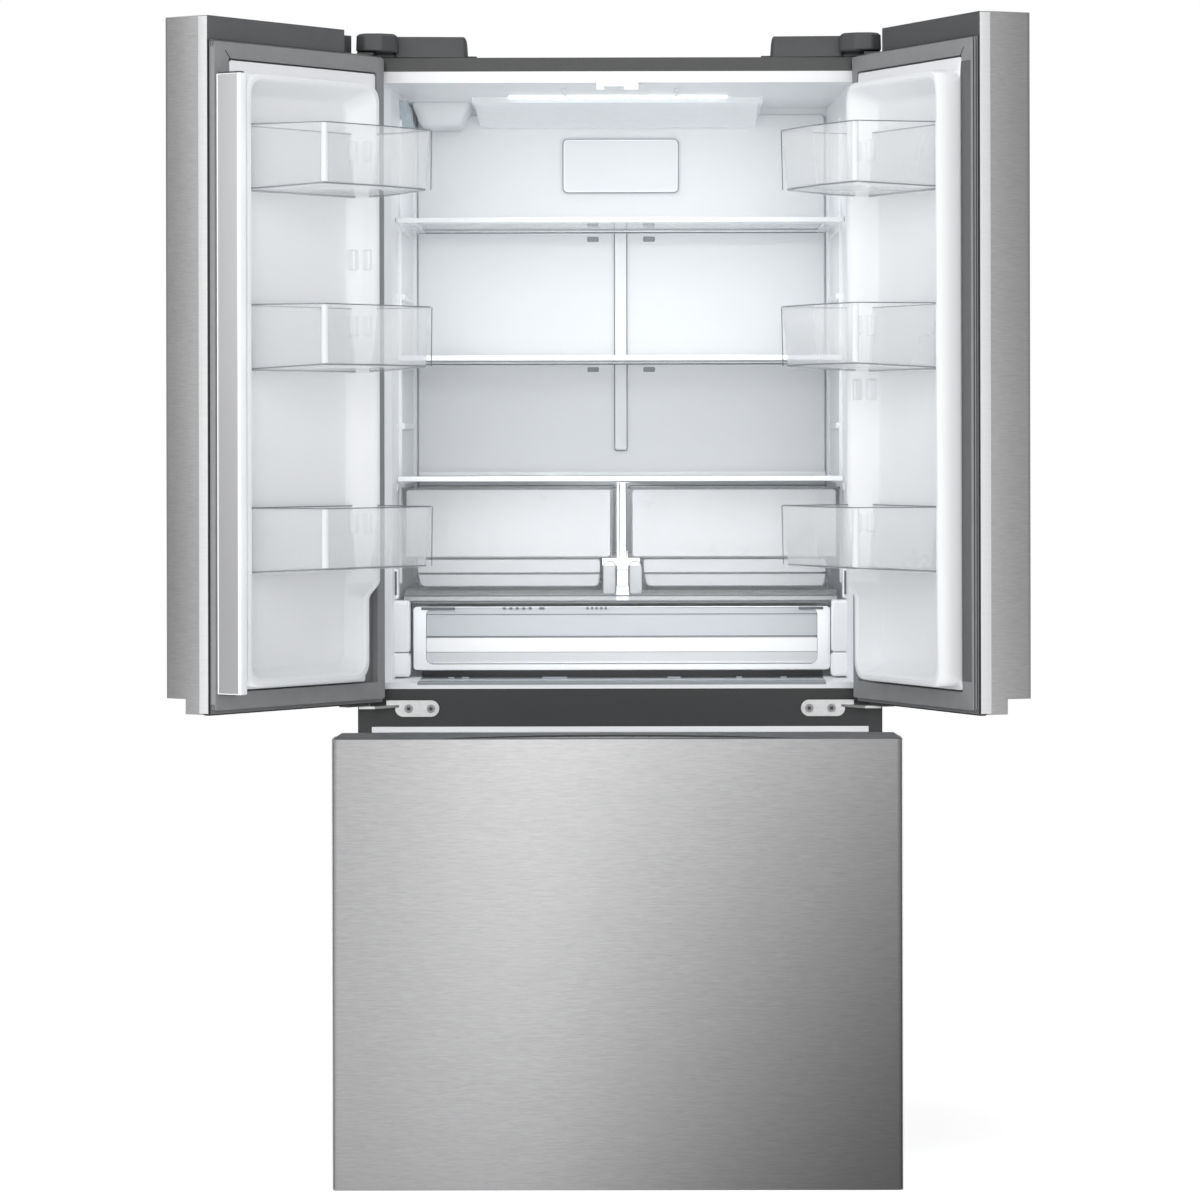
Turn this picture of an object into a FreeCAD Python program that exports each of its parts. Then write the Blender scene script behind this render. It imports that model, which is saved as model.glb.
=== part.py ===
"""French door refrigerator: two hinged fresh-food doors over a pull-out freezer drawer.

Lengths are millimetres. The body is drawn in cabinet coordinates (X right, Y to the back, Z up,
Y = 0 on the cabinet's front flange, Z = 0 on the floor) and moved at the end, so that the stored
origin is the middle of the footprint, on the floor. Doors are drawn closed and then swung open,
and the freezer drawer is drawn closed and then pulled out: that open pose is the rest pose.
"""
import FreeCAD
import Part
import math
import os

V = FreeCAD.Vector

# ---- driving dimensions -------------------------------------------------------------------
WIDTH = 835.0            # cabinet, both doors together and the freezer front
CASE_TOP = 1750.0        # top of the steel cabinet
CASE_DEPTH = 650.0       # front flange to back panel
DOOR_TOP = 1786.0
DOOR_BOTTOM = 726.0      # back part of the fresh-food doors
GRIP_BOTTOM = 749.0      # front part, raised to leave a finger pocket
GRIP_DEPTH = 43.0        # how far the raised front part reaches back
DOOR_GAP = 13.0          # gasket space between a closed door and the flange
DOOR_THICK = 90.0
CENTRE_GAP = 2.0         # half of the gap between the two doors
PIVOT_X = 401.5          # door hinge axis, from the middle of the cabinet
PIVOT_Y = -34.0
OPEN_LEFT = 126.0        # opening angles of the rest pose
OPEN_RIGHT = 114.0
DRAWER_OUT = 505.0       # how far the freezer drawer stands out at rest
FREEZER_BOTTOM = 45.0
FREEZER_TOP = 704.0
RAIL_BOTTOM = 685.0      # dark rail between the two compartments
RAIL_TOP = 745.0
FLANGE = 22.0            # width of the front flange
SHEET = 1.0
LINER = 2.5
OPEN_HALF = WIDTH / 2 - FLANGE
WALL_FRONT = 367.0       # half width between the liner's side walls, front and back
WALL_BACK = 353.0
FRIDGE_BACK = 590.0
CEILING = 1710.0
FRIDGE_FLOOR = 755.0
FREEZER_CEILING = 676.0
FREEZER_FLOOR = 112.0
FREEZER_BACK = 590.0
STEP_FRONT = 385.0       # compressor step in the freezer's floor
STEP_TOP = 330.0
SHELF_FRONT = 176.0
SHELF_BACK = 570.0
SHELF_TOPS = (1504.0, 1279.0, 1082.0)
PIN_R = 5.0
BORE_R = 5.08
INNER = -DOOR_GAP                      # door's gasket plane
FRONT = -DOOR_GAP - DOOR_THICK         # door's outer face
HALF = WIDTH / 2

parts = {}


# ---- helpers ------------------------------------------------------------------------------
def box(x0, x1, y0, y1, z0, z1):
    return Part.makeBox(x1 - x0, y1 - y0, z1 - z0, V(x0, y0, z0))


def cyl(r, h, base, axis=(0, 0, 1)):
    return Part.makeCylinder(r, h, V(*base), V(*axis))


def prism(points, z0, z1):
    """Plan outline extruded upward."""
    wire = Part.makePolygon([V(x, y, z0) for x, y in points] + [V(points[0][0], points[0][1], z0)])
    return Part.Face(wire).extrude(V(0, 0, z1 - z0))


def side_prism(points, x0, x1):
    """Outline in Y-Z extruded along X."""
    wire = Part.makePolygon([V(x0, y, z) for y, z in points] + [V(x0, points[0][0], points[0][1])])
    return Part.Face(wire).extrude(V(x1 - x0, 0, 0))


def fuse(shapes):
    out = shapes[0].fuse(list(shapes[1:])) if len(shapes) > 1 else shapes[0]
    return out.removeSplitter()


def round_edges(shape, radius, keep):
    """Fillet the straight edges whose direction and middle pass the test."""
    chosen = []
    for e in shape.Edges:
        if e.Curve.TypeId != "Part::GeomLine":
            continue
        a, b = e.Vertexes[0].Point, e.Vertexes[-1].Point
        if keep((b - a).normalize(), (a + b) * 0.5):
            chosen.append(e)
    return shape.makeFillet(radius, chosen)


def upright(d):
    return abs(d.z) > 0.999


def along_x(d):
    return abs(d.x) > 0.999


def mirrored(shape):
    return shape.mirror(V(0, 0, 0), V(1, 0, 0))


def both(shape):
    return Part.makeCompound([shape, mirrored(shape)])


def swung(shape, side):
    """Swing a closed left or right door part to its rest angle."""
    s = shape.copy()
    x = -PIVOT_X if side == "left" else PIVOT_X
    a = -OPEN_LEFT if side == "left" else OPEN_RIGHT
    s.rotate(V(x, PIVOT_Y, 0), V(0, 0, 1), a)
    return s


def pulled(shape, dist=DRAWER_OUT):
    s = shape.copy()
    s.translate(V(0, -dist, 0))
    return s


def tray(outline, inner, z0, z1, floor):
    """Open-topped bin from two plan outlines."""
    return prism(outline, z0, z1).cut(prism(inner, z0 + floor, z1 + 1))


# ---- cabinet shell ------------------------------------------------------------------------
case_bottom = 50.0
outer = box(-HALF, HALF, 0, CASE_DEPTH - SHEET, case_bottom, CASE_TOP)
hollow = box(-HALF + SHEET, HALF - SHEET, SHEET, CASE_DEPTH, case_bottom - 1, CASE_TOP - SHEET)
mouth = box(-OPEN_HALF, OPEN_HALF, -1, 2 * SHEET, case_bottom - 1, CASE_TOP - FLANGE)
parts["cabinet_wrapper"] = outer.cut(hollow).cut(mouth)

panel = box(-HALF, HALF, CASE_DEPTH - SHEET, CASE_DEPTH, case_bottom, CASE_TOP)
vents = [box(x - 9, x + 9, CASE_DEPTH - 2, CASE_DEPTH + 1, 90 + 16 * k, 95 + 16 * k)
         for k in range(11) for x in range(-300, 301, 40)]
parts["back_panel"] = panel.cut(Part.makeCompound(vents))


def wall_outline(extra, y_front, y_back):
    """Plan outline of a compartment, grown sideways and backward by extra."""
    right = [(OPEN_HALF + extra, y_front), (OPEN_HALF + extra, 42.0), (WALL_FRONT + extra, 78.0),
             (WALL_BACK + extra, y_back + extra)]
    return right + [(-x, y) for x, y in reversed(right)]


def fridge_space(e, y0):
    """Fresh-food compartment grown by e: straight mouth, then narrower walls."""
    return prism(wall_outline(e, y0, FRIDGE_BACK), FRIDGE_FLOOR - e, CEILING + e)


def freezer_space(e, y0):
    """Freezer compartment grown by e, with the step that clears the compressor."""
    body = prism(wall_outline(e, y0, FREEZER_BACK), FREEZER_FLOOR - e, FREEZER_CEILING + e)
    step = box(-500, 500, STEP_FRONT + e, 800, 0, STEP_TOP - e)
    return body.cut(step)


bands = [box(-OPEN_HALF + 0.1, OPEN_HALF - 0.1, 0.0, 2.5, CEILING, CASE_TOP - FLANGE - 0.1),
         box(-OPEN_HALF + 0.1, OPEN_HALF - 0.1, 0.0, 2.5, RAIL_TOP + 0.2, FRIDGE_FLOOR)]
parts["fridge_liner"] = fuse([fridge_space(LINER, SHEET + 0.01)] + bands).cut(fridge_space(0.0, -5.0))
low_bands = [box(-OPEN_HALF + 0.1, OPEN_HALF - 0.1, 0.0, 2.5, FREEZER_CEILING, RAIL_BOTTOM - 0.2),
             box(-OPEN_HALF + 0.1, OPEN_HALF - 0.1, 0.0, 2.5, 60.0, FREEZER_FLOOR)]
parts["freezer_liner"] = fuse([freezer_space(LINER, SHEET + 0.01)] + low_bands).cut(freezer_space(0.0, -5.0))

foam = box(-HALF + SHEET, HALF - SHEET, SHEET + 0.02, CASE_DEPTH - SHEET, 60.0, CASE_TOP - SHEET)
bay = box(-HALF, HALF, STEP_FRONT + LINER + 45.0, CASE_DEPTH, 50.0, STEP_TOP - LINER - 32.0)
rail_seat = box(-OPEN_HALF, OPEN_HALF, 0, 14.0, RAIL_BOTTOM, RAIL_TOP)
foam = foam.cut(bay).cut(rail_seat).cut(Part.makeCompound(bands + low_bands))
foam = foam.cut(fridge_space(LINER, -5.0)).cut(freezer_space(LINER, -5.0))
parts["insulation"] = foam

rail = box(-OPEN_HALF, OPEN_HALF, 0, 14.0, RAIL_BOTTOM, RAIL_TOP - 0.5)
rail = rail.cut(box(-OPEN_HALF - 1, OPEN_HALF + 1, 1.5, 15.0, RAIL_BOTTOM + 1.5, RAIL_TOP - 2.0))
parts["divider_rail"] = rail

# ---- base, feet, rollers ------------------------------------------------------------------
base = box(-HALF + SHEET, HALF - SHEET, 6.0, CASE_DEPTH - SHEET, 48.0, 50.0)
ROLL_X, ROLL_Y, ROLL_R = 352.0, 596.0, 21.0
ears = []
for sx in (-1, 1):
    for dx in (-15.0, 12.5):
        ears.append(box(sx * ROLL_X + dx, sx * ROLL_X + dx + 2.5, ROLL_Y - 15, ROLL_Y + 15, 12.0, 48.0))
    ears.append(cyl(3.5, 30.0, (sx * ROLL_X - 15, ROLL_Y, ROLL_R), (1, 0, 0)))
FOOT_X, FOOT_Y = 368.0, 52.0
base = base.cut(Part.makeCompound([cyl(6.0, 10, (sx * FOOT_X, FOOT_Y, 45)) for sx in (-1, 1)]))
parts["base_plate"] = fuse([base] + ears)


def foot(x):
    pad = Part.makeCone(21.0, 17.0, 9.0, V(x, FOOT_Y, 0))
    nut = prism([(x + 11 * math.cos(k * math.pi / 3), FOOT_Y + 11 * math.sin(k * math.pi / 3))
                 for k in range(6)], 9.0, 17.0)
    return fuse([pad, nut, cyl(6.0, 42.0, (x, FOOT_Y, 17.0))])


parts["levelling_feet"] = Part.makeCompound([foot(-FOOT_X), foot(FOOT_X)])
for name, sx in (("roller_left", -1), ("roller_right", 1)):
    wheel = cyl(ROLL_R, 22.0, (sx * ROLL_X - 11, ROLL_Y, ROLL_R), (1, 0, 0))
    parts[name] = wheel.cut(cyl(3.55, 24.0, (sx * ROLL_X - 12, ROLL_Y, ROLL_R), (1, 0, 0)))

# ---- cooling circuit ----------------------------------------------------------------------
can = cyl(78.0, 105.0, (-215.0, 535.0, 84.0))
dome = Part.makeSphere(78.0, V(-215.0, 535.0, 189.0), V(0, 0, 1), 0, 90, 360)
dome.scale(1.0)
feet = [cyl(11.0, 35.0, (-215.0 + dx, 535.0 + dy, 50.0)) for dx in (-84, 84) for dy in (-66, 66)]
sole = box(-309.0, -121.0, 461.0, 609.0, 80.0, 84.0)
parts["compressor"] = fuse([can, dome, sole] + feet)

loops = []
for k in range(7):
    z = 74.0 + 26.0 * k
    loops.append(cyl(3.0, 240.0, (40.0, 560.0, z), (1, 0, 0)))
    if k < 6:
        x = 280.0 if k % 2 == 0 else 40.0
        bend = Part.makeTorus(13.0, 3.0, V(x, 560.0, z + 13.0), V(0, 1, 0))
        half = box(x, x + 30, 540, 580, z - 10, z + 40) if k % 2 == 0 else \
            box(x - 30, x, 540, 580, z - 10, z + 40)
        loops.append(bend.common(half))
stand = [box(x, x + 3, 552.0, 568.0, 50.0, 240.0) for x in (80.0, 240.0)]
parts["condenser"] = fuse(loops + stand)

fins = [box(x, x + 1.0, 549.0, 587.0, 380.0, 545.0) for x in range(-250, 251, 20)]
tubes = [cyl(4.0, 540.0, (-270.0, 568.0, z), (1, 0, 0)) for z in (400.0, 440.0, 480.0, 520.0)]
parts["evaporator"] = fuse(fins + tubes)
cover = box(-345.0, 345.0, 540.0, 543.0, STEP_TOP + 6, FREEZER_CEILING - 6)
FAN_X, FAN_Y, FAN_Z, FAN_R = 0.0, 556.0, 612.0, 46.0
slots = [box(x, x + 60, 538, 545, 350 + 12 * k, 355 + 12 * k) for k in range(3) for x in (-220, -60, 100, 160)]
cover = cover.cut(cyl(FAN_R + 3, 9.0, (FAN_X, 537.0, FAN_Z), (0, 1, 0))).cut(Part.makeCompound(slots))
hub = cyl(15.0, 30.0, (FAN_X, 560.0, FAN_Z), (0, 1, 0))
bars = [box(FAN_X - 55, FAN_X + 55, 574.0, 577.0, FAN_Z + s * 55 - 4, FAN_Z + s * 55 + 4) for s in (-1, 1)]
posts = [box(FAN_X + s * 51 - 4, FAN_X + s * 51 + 4, 543.0, 577.0, FAN_Z + t * 55 - 4, FAN_Z + t * 55 + 4)
         for s in (-1, 1) for t in (-1, 1)]
spine = box(FAN_X - 5, FAN_X + 5, 574.0, 577.0, FAN_Z - 55, FAN_Z + 55)
stub = cyl(3.0, 20.0, (FAN_X, 545.0, FAN_Z), (0, 1, 0))
parts["evaporator_cover"] = fuse([cover, hub, spine, stub] + bars + posts)
blades = []
for k in range(5):
    b = box(FAN_X + 9, FAN_X + FAN_R, 551.0, 553.0, FAN_Z - 9, FAN_Z + 9)
    b.rotate(V(FAN_X, 552.0, FAN_Z), V(1, 0, 0), 24)
    b.rotate(V(FAN_X, 552.0, FAN_Z), V(0, 1, 0), 72 * k)
    blades.append(b)
core = cyl(12.0, 12.0, (FAN_X, 546.0, FAN_Z), (0, 1, 0))
fan = fuse([core] + blades)
parts["evaporator_fan"] = fan.cut(cyl(3.05, 30.0, (FAN_X, 540.0, FAN_Z), (0, 1, 0)))

# ---- fresh-food fittings ------------------------------------------------------------------
strip = box(-11.0, 11.0, 582.0, FRIDGE_BACK, 1124.0, 1566.0)
strip = round_edges(strip, 10.5, lambda d, m: abs(d.y) > 0.999 and m.z < 1200)
plate = round_edges(box(-99.0, 99.0, 580.0, FRIDGE_BACK, 1566.0, 1657.0), 10.0, lambda d, m: abs(d.y) > 0.999)
parts["air_duct"] = fuse([strip, plate])
lamp = side_prism([(304.0, CEILING), (304.0, CEILING - 7.0), (FRIDGE_BACK, CEILING - 36.0),
                   (FRIDGE_BACK, CEILING)], -246.0, 236.0)
groove = box(-190.0, 180.0, 300.0, 312.0, CEILING - 6.0, CEILING - 1.5)
parts["lamp_housing"] = lamp.cut(groove)
parts["lamp_strip"] = box(-190.0, 180.0, 303.0, 312.0, CEILING - 6.0, CEILING - 1.5)
pod = box(-352.0, -256.0, 420.0, FRIDGE_BACK, CEILING - 60.0, CEILING)
pod = round_edges(pod, 14.0, lambda d, m: upright(d) and m.x > -300 and m.y < 500)
parts["control_housing"] = pod
guide = [box(-36.0, 31.0, 3.0, 40.0, CEILING - 2.5, CEILING), box(8.0, 31.0, 3.0, 36.0, CEILING - 11.0, CEILING - 2.5),
         box(-36.0, -24.0, 3.0, 12.0, CEILING - 11.0, CEILING - 2.5),
         box(-36.0, -31.0, 12.0, 36.0, CEILING - 11.0, CEILING - 2.5)]
parts["flap_guide"] = fuse(guide)

glass_half = WALL_BACK - 16.0
for name, top in (("shelf_upper", SHELF_TOPS[0]), ("shelf_lower", SHELF_TOPS[1]),
                  ("crisper_cover", SHELF_TOPS[2])):
    trim = box(-362.0, 362.0, SHELF_FRONT, SHELF_FRONT + 14.0, top - 8.5, top)
    lip = box(-352.0, 352.0, SHELF_FRONT + 14.0, SHELF_FRONT + 26.0, top - 8.5, top - 6.0)
    rear = box(-348.0, 348.0, SHELF_BACK - 14.0, SHELF_BACK, top - 8.5, top + 4.0)
    rear = rear.cut(box(-400, 400, SHELF_BACK - 15.0, SHELF_BACK - 6.0, top - 6.0, top - 1.8))
    arms = [box(sx * 343 - 7, sx * 343 + 7, SHELF_FRONT + 14.0, SHELF_BACK - 14.0, top - 8.5, top - 6.0)
            for sx in (-1, 1)]
    rims = [box(sx * 347.5 - 2.5, sx * 347.5 + 2.5, SHELF_FRONT + 14.0, SHELF_BACK - 14.0, top - 6.0, top - 2.0)
            for sx in (-1, 1)]
    trim = round_edges(trim, 2.0, lambda d, m: along_x(d) and m.y < SHELF_FRONT + 1)
    parts[name] = fuse([trim, lip, rear] + arms + rims)
parts["shelf_glass"] = Part.makeCompound(
    [box(-344.0, 344.0, SHELF_FRONT + 14.2, SHELF_BACK - 6.2, t - 6.0, t - 2.0) for t in SHELF_TOPS])

divider = [box(-6.0, 7.0, SHELF_FRONT + 4, 555.0, 948.0, SHELF_TOPS[2] - 9.0),
           box(-30.0, 31.0, SHELF_FRONT + 2, 540.0, 936.0, 948.0),
           box(-4.0, 5.0, SHELF_FRONT + 10, 540.0, 896.5, 936.0)]
parts["crisper_divider"] = fuse(divider)
plate = box(-351.0, 351.0, SHELF_FRONT, 560.0, 890.0, 896.0)
apron = box(-352.0, 352.0, SHELF_FRONT - 3.0, SHELF_FRONT + 5.0, 875.0, 896.0)
parts["pantry_cover"] = fuse([plate, apron])
runner = fuse([box(-351.0, -342.0, 120.0, 540.0, 790.0, 874.0), box(-342.0, -334.0, 190.0, 540.0, 800.0, 806.0)])
parts["pantry_rails"] = both(round_edges(runner, 6.0, lambda d, m: along_x(d) and m.y < 130 and m.x < -345))

for name, x0, x1 in (("crisper_left", -352.0, -12.0), ("crisper_right", 13.0, 353.0)):
    xs = (x0, x0 + 2.5, x1 - 2.5, x1)
    tub = tray([(x0 + 18, 181), (x1 - 18, 181), (x1 - 18, 548), (x0 + 18, 548)],
               [(x0 + 21, 184), (x1 - 21, 184), (x1 - 21, 545), (x0 + 21, 545)], 906.0, 1058.0, 3.0)
    rim = box(x0 + 10, x1 - 10, SHELF_FRONT + 2, 550.0, 1054.0, 1058.0).cut(
        box(x0 + 21, x1 - 21, 184.0, 545.0, 1050.0, 1060.0))
    face = box(x0 + 2, x1 - 2, SHELF_FRONT + 1, 181.0, 1026.0, 1064.0)
    parts[name] = fuse([tub, rim, face])
pan = tray([(-330, 186), (330, 186), (330, 530), (-330, 530)], [(-327, 189), (327, 189), (327, 527), (-327, 527)],
           768.0, 862.0, 3.0)
face = box(-333.0, 333.0, SHELF_FRONT + 1, 186.0, 766.0, 870.0)
window = box(-316.0, 316.0, SHELF_FRONT, 181.0, 778.0, 862.0)
parts["pantry_drawer"] = fuse([pan, round_edges(face, 8.0, lambda d, m: abs(d.y) > 0.999)]).cut(window)

# ---- hinges -------------------------------------------------------------------------------
def top_hinge():
    plan = [(-414.5, -47.0), (-388.0, -47.0), (-384.0, -2.0), (-262.0, 14.0), (-262.0, 60.0), (-400.0, 60.0),
            (-414.5, 0.0)]
    arm = prism(plan, CASE_TOP + 1.0, CASE_TOP + 5.0)
    holes = Part.makeCompound([cyl(3.0, 9, (x, y, CASE_TOP)) for x, y in TOP_SCREWS])
    spacer = prism([(-398.0, 6.0), (-262.0, 18.0), (-262.0, 60.0), (-398.0, 60.0)], CASE_TOP, CASE_TOP + 1.0)
    pin = cyl(PIN_R, 28.0, (-PIVOT_X, PIVOT_Y, CASE_TOP - 22.0))
    return fuse([arm, spacer, pin]).cut(holes)


def hinge_cover():
    plan = [(-416.0, -50.0), (-404.0, -62.0), (-372.0, -62.0), (-350.0, -50.0), (-346.0, -12.0), (-242.0, -4.0),
            (-242.0, 76.0), (-416.0, 76.0)]
    inner = [(-413.5, -49.0), (-403.0, -59.5), (-373.0, -59.5), (-352.5, -48.5), (-348.5, -9.5), (-244.5, -1.5),
             (-244.5, 73.5), (-413.5, 73.5)]
    shell = prism(plan, CASE_TOP + 5.3, 1783.0).cut(prism(inner, CASE_TOP + 4.0, 1780.5))
    skirt = prism([(-300.0, 3.0), (-242.0, 3.0), (-242.0, 76.0), (-416.0, 76.0), (-416.0, 62.5), (-300.0, 62.5)],
                  CASE_TOP, CASE_TOP + 5.3)
    skirt = skirt.cut(box(-420, -259.5, -10, 62.4, CASE_TOP - 1, CASE_TOP + 9)).cut(
        box(-413.5, -244.5, 3.0 + 2.5, 73.5, CASE_TOP - 1, CASE_TOP + 9))
    tab = box(-242.0, -226.0, 22.0, 60.0, CASE_TOP, CASE_TOP + 4.0)
    cover = fuse([shell, skirt, tab])
    return cover


TOP_SCREWS = [(-375.0, 30.0), (-330.0, 38.0), (-285.0, 42.0)]
MID_SCREWS = [(-336.5, 714.0), (-301.0, 714.0)]


def mid_hinge():
    flat = box(-358.0, -301.0, -3.0, 0.0, 701.0, 727.0)
    ends = [cyl(13.0, 3.0, (-301.0, -3.0, 714.0), (0, 1, 0)),
            box(-372.0, -340.0, -3.0, 0.0, 715.5, 727.0)]
    toe = cyl(13.0, 3.0, (-345.0, -3.0, 714.0), (0, 1, 0))
    flat = fuse([flat.cut(box(-360, -345, -5, 5, 690, 740)), toe] + ends)
    arm = prism([(-413.0, -48.0), (-388.0, -48.0), (-352.0, -3.0), (-352.0, 0.0), (-398.0, 0.0), (-413.0, -20.0)],
                716.0, 720.0)
    pin = cyl(PIN_R, 28.0, (-PIVOT_X, PIVOT_Y, 718.0))
    holes = Part.makeCompound([cyl(2.6, 9, (x, -6.0, z), (0, 1, 0)) for x, z in MID_SCREWS])
    return fuse([flat, arm, pin]).cut(holes)


def screw(head_r, head_h, base, axis, shank_r, length):
    d = V(*axis)
    start = V(*base)
    head = Part.makeCylinder(head_r, head_h, start, d)
    head = head.cut(Part.makeCylinder(1.8, head_h, start + d * (head_h * 0.45), d))
    return fuse([head, Part.makeCylinder(shank_r, length, start - d * length, d)])


for side in ("left", "right"):
    flip = (lambda s: s) if side == "left" else mirrored
    parts["top_hinge_" + side] = flip(top_hinge())
    parts["hinge_cover_" + side] = flip(hinge_cover())
    parts["mid_hinge_" + side] = flip(mid_hinge())
screws = [screw(6.5, 4.0, (x, y, CASE_TOP + 5.0), (0, 0, 1), 2.95, 4.9) for x, y in TOP_SCREWS]
screws += [screw(6.8, 3.5, (x, -3.0, z), (0, -1, 0), 2.55, 2.9) for x, z in MID_SCREWS]
parts["hinge_screws"] = Part.makeCompound(screws + [mirrored(s) for s in screws])

# ---- fresh-food doors ---------------------------------------------------------------------
X_OUT, X_IN = -HALF, -CENTRE_GAP       # left door, hinge edge and free edge


def door_profile(inset, y_back):
    """Plan outline with rounded front corners."""
    b = box(X_OUT + inset, X_IN - inset, FRONT + inset, y_back, 0, 2000)
    return round_edges(b, 9.0 - inset, lambda d, m: upright(d) and m.y < FRONT + inset + 1)


def door_bore():
    return [cyl(BORE_R, 30.0, (-PIVOT_X, PIVOT_Y, DOOR_BOTTOM - 5.0)),
            cyl(BORE_R, 24.0, (-PIVOT_X, PIVOT_Y, CASE_TOP - 23.0))]


def over_hinge():
    """Space above the door's hinge corner that the arm and its cover turn in."""
    return box(X_OUT - 1, X_OUT + 93.0, FRONT + 27.0, 0, CASE_TOP, 1800)


def door_skin():
    s = door_profile(0.0, INNER - 12.0).cut(door_profile(SHEET, INNER))
    keep = box(-500, 0, -200, 0, GRIP_BOTTOM, DOOR_TOP)
    keep = keep.fuse(box(-500, 0, FRONT + GRIP_DEPTH, 0, DOOR_BOTTOM, GRIP_BOTTOM))
    return s.common(keep).cut(over_hinge())


def door_core():
    s = door_profile(SHEET, INNER - 12.0).common(box(-500, 0, -200, 0, DOOR_BOTTOM + 3, CASE_TOP - 3.0))
    s = s.cut(box(-500, 0, -200, FRONT + GRIP_DEPTH + 3.0, 0, GRIP_BOTTOM + 3.0))
    return s.cut(Part.makeCompound(door_bore()))


def door_caps():
    top = door_profile(SHEET, INNER).common(box(-500, 0, -200, 0, CASE_TOP, DOOR_TOP - 0.5)).cut(over_hinge())
    seat = door_profile(SHEET, INNER - 12.0).common(box(-500, 0, -200, 0, CASE_TOP - 3.0, CASE_TOP))
    low = door_profile(SHEET, INNER - 12.0).common(box(-500, 0, -200, 0, DOOR_BOTTOM, GRIP_BOTTOM + 3.0))
    low = low.cut(box(-500, 0, -200, FRONT + GRIP_DEPTH, 0, GRIP_BOTTOM))
    low = low.cut(box(-500, 0, FRONT + GRIP_DEPTH + 3.0, 0, DOOR_BOTTOM + 3.0, 900))
    pieces = [fuse([top, seat]), low]
    return Part.makeCompound([p.cut(Part.makeCompound(door_bore())) for p in pieces])


def door_liner():
    """Grey inner frame plane with a rounded dike around a shallow pan, one moulding."""
    sheet = box(X_OUT + 0.5, X_IN - 0.5, INNER - 12.0, INNER, DOOR_BOTTOM, CASE_TOP)
    x0, x1 = X_OUT + 30.5, X_IN - 24.0
    dike = box(x0, x1, INNER, INNER + 60.0, 769.0, 1696.0)
    dike = round_edges(dike, 26.0, lambda d, m: abs(d.y) > 0.999)
    dike = round_edges(dike, 8.0, lambda d, m: upright(d) and m.y > INNER + 50)
    pan = box(x0 + 42.0, x1 - 42.0, INNER + 10.0, INNER + 70.0, 800.0, 1664.0)
    pan = round_edges(pan, 18.0, lambda d, m: abs(d.y) > 0.999)
    return fuse([sheet, dike]).cut(pan).cut(Part.makeCompound(door_bore()))


def door_gasket():
    x0, x1, z0, z1 = -408.0, X_IN - 3.5, 748.0, 1717.0
    ring = box(x0, x1, INNER, -1.0, z0, z1).cut(box(x0 + 15, x1 - 15, -20, 5, z0 + 15, z1 - 15))
    groove = box(x0 - 5, x1 + 5, -9.0, -5.5, z0 - 5, z1 + 5).cut(box(x0 + 3.5, x1 - 3.5, -20, 5, z0 + 3.5, z1 - 3.5))
    return ring.cut(groove)


def door_bin(z0):
    """Clear bin: narrow back between the dikes, wide middle, tapered rounded front."""
    mid = (X_OUT + X_IN + 6.5) / 2
    free = [(136, 12.0), (136, 62.0), (172, 66.0), (170, 92.0), (150, 168.0), (138, 178.0)]
    hinge = [(-138, 178.0), (-148, 168.0), (-157, 92.0), (-158, 66.0), (-136, 62.0), (-136, 12.0)]
    free_in = [(133, 15.0), (133, 65.0), (169, 69.0), (167.5, 91.0), (148, 166.0), (137, 175.0)]
    hinge_in = [(-137, 175.0), (-146, 166.0), (-154.5, 91.0), (-155, 69.0), (-133, 65.0), (-133, 15.0)]
    outline, hole = ([(mid + x, INNER + h) for x, h in half] for half in (free + hinge, free_in + hinge_in))
    return tray(outline, hole, z0, z0 + 103.0, 3.0)


BIN_Z = (944.0, 1253.0, 1519.0)
for side in ("left", "right"):
    flip = (lambda s: s) if side == "left" else mirrored
    pieces = {"skin": door_skin(), "core": door_core(), "caps": door_caps(), "liner": door_liner(),
              "gasket": door_gasket(), "bins": Part.makeCompound([door_bin(z) for z in BIN_Z])}
    for key, shape in pieces.items():
        parts[side + "_door_" + key] = swung(flip(shape), side)

# mullion flap: folded against the left door's dike at rest
FLAP_X, FLAP_Y = -14.0, 11.5
flap = box(-19.0, -3.0, 1.0, 50.0, 758.0, 1696.0)
flap = flap.cut(prism([(-9.0, 0.9), (-2.9, 0.9), (-2.9, 7.0)], 750.0, 1700.0))
flap = round_edges(flap, 2.0, lambda d, m: upright(d) and m.y > 40)
flap_pins = [cyl(3.0, 3.0, (-11.0, 38.0, 1696.0)), cyl(3.0, 3.0, (-11.0, 38.0, 755.0))]
parts["mullion_flap"] = swung(fuse([flap] + flap_pins), "left")

# ---- freezer drawer -----------------------------------------------------------------------
def front_profile(inset, y_back):
    b = box(-HALF + inset, HALF - inset, FRONT + inset, y_back, FREEZER_BOTTOM + inset, FREEZER_TOP - inset)
    return round_edges(b, 9.0 - inset, lambda d, m: upright(d) and m.y < FRONT + inset + 1)


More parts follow.
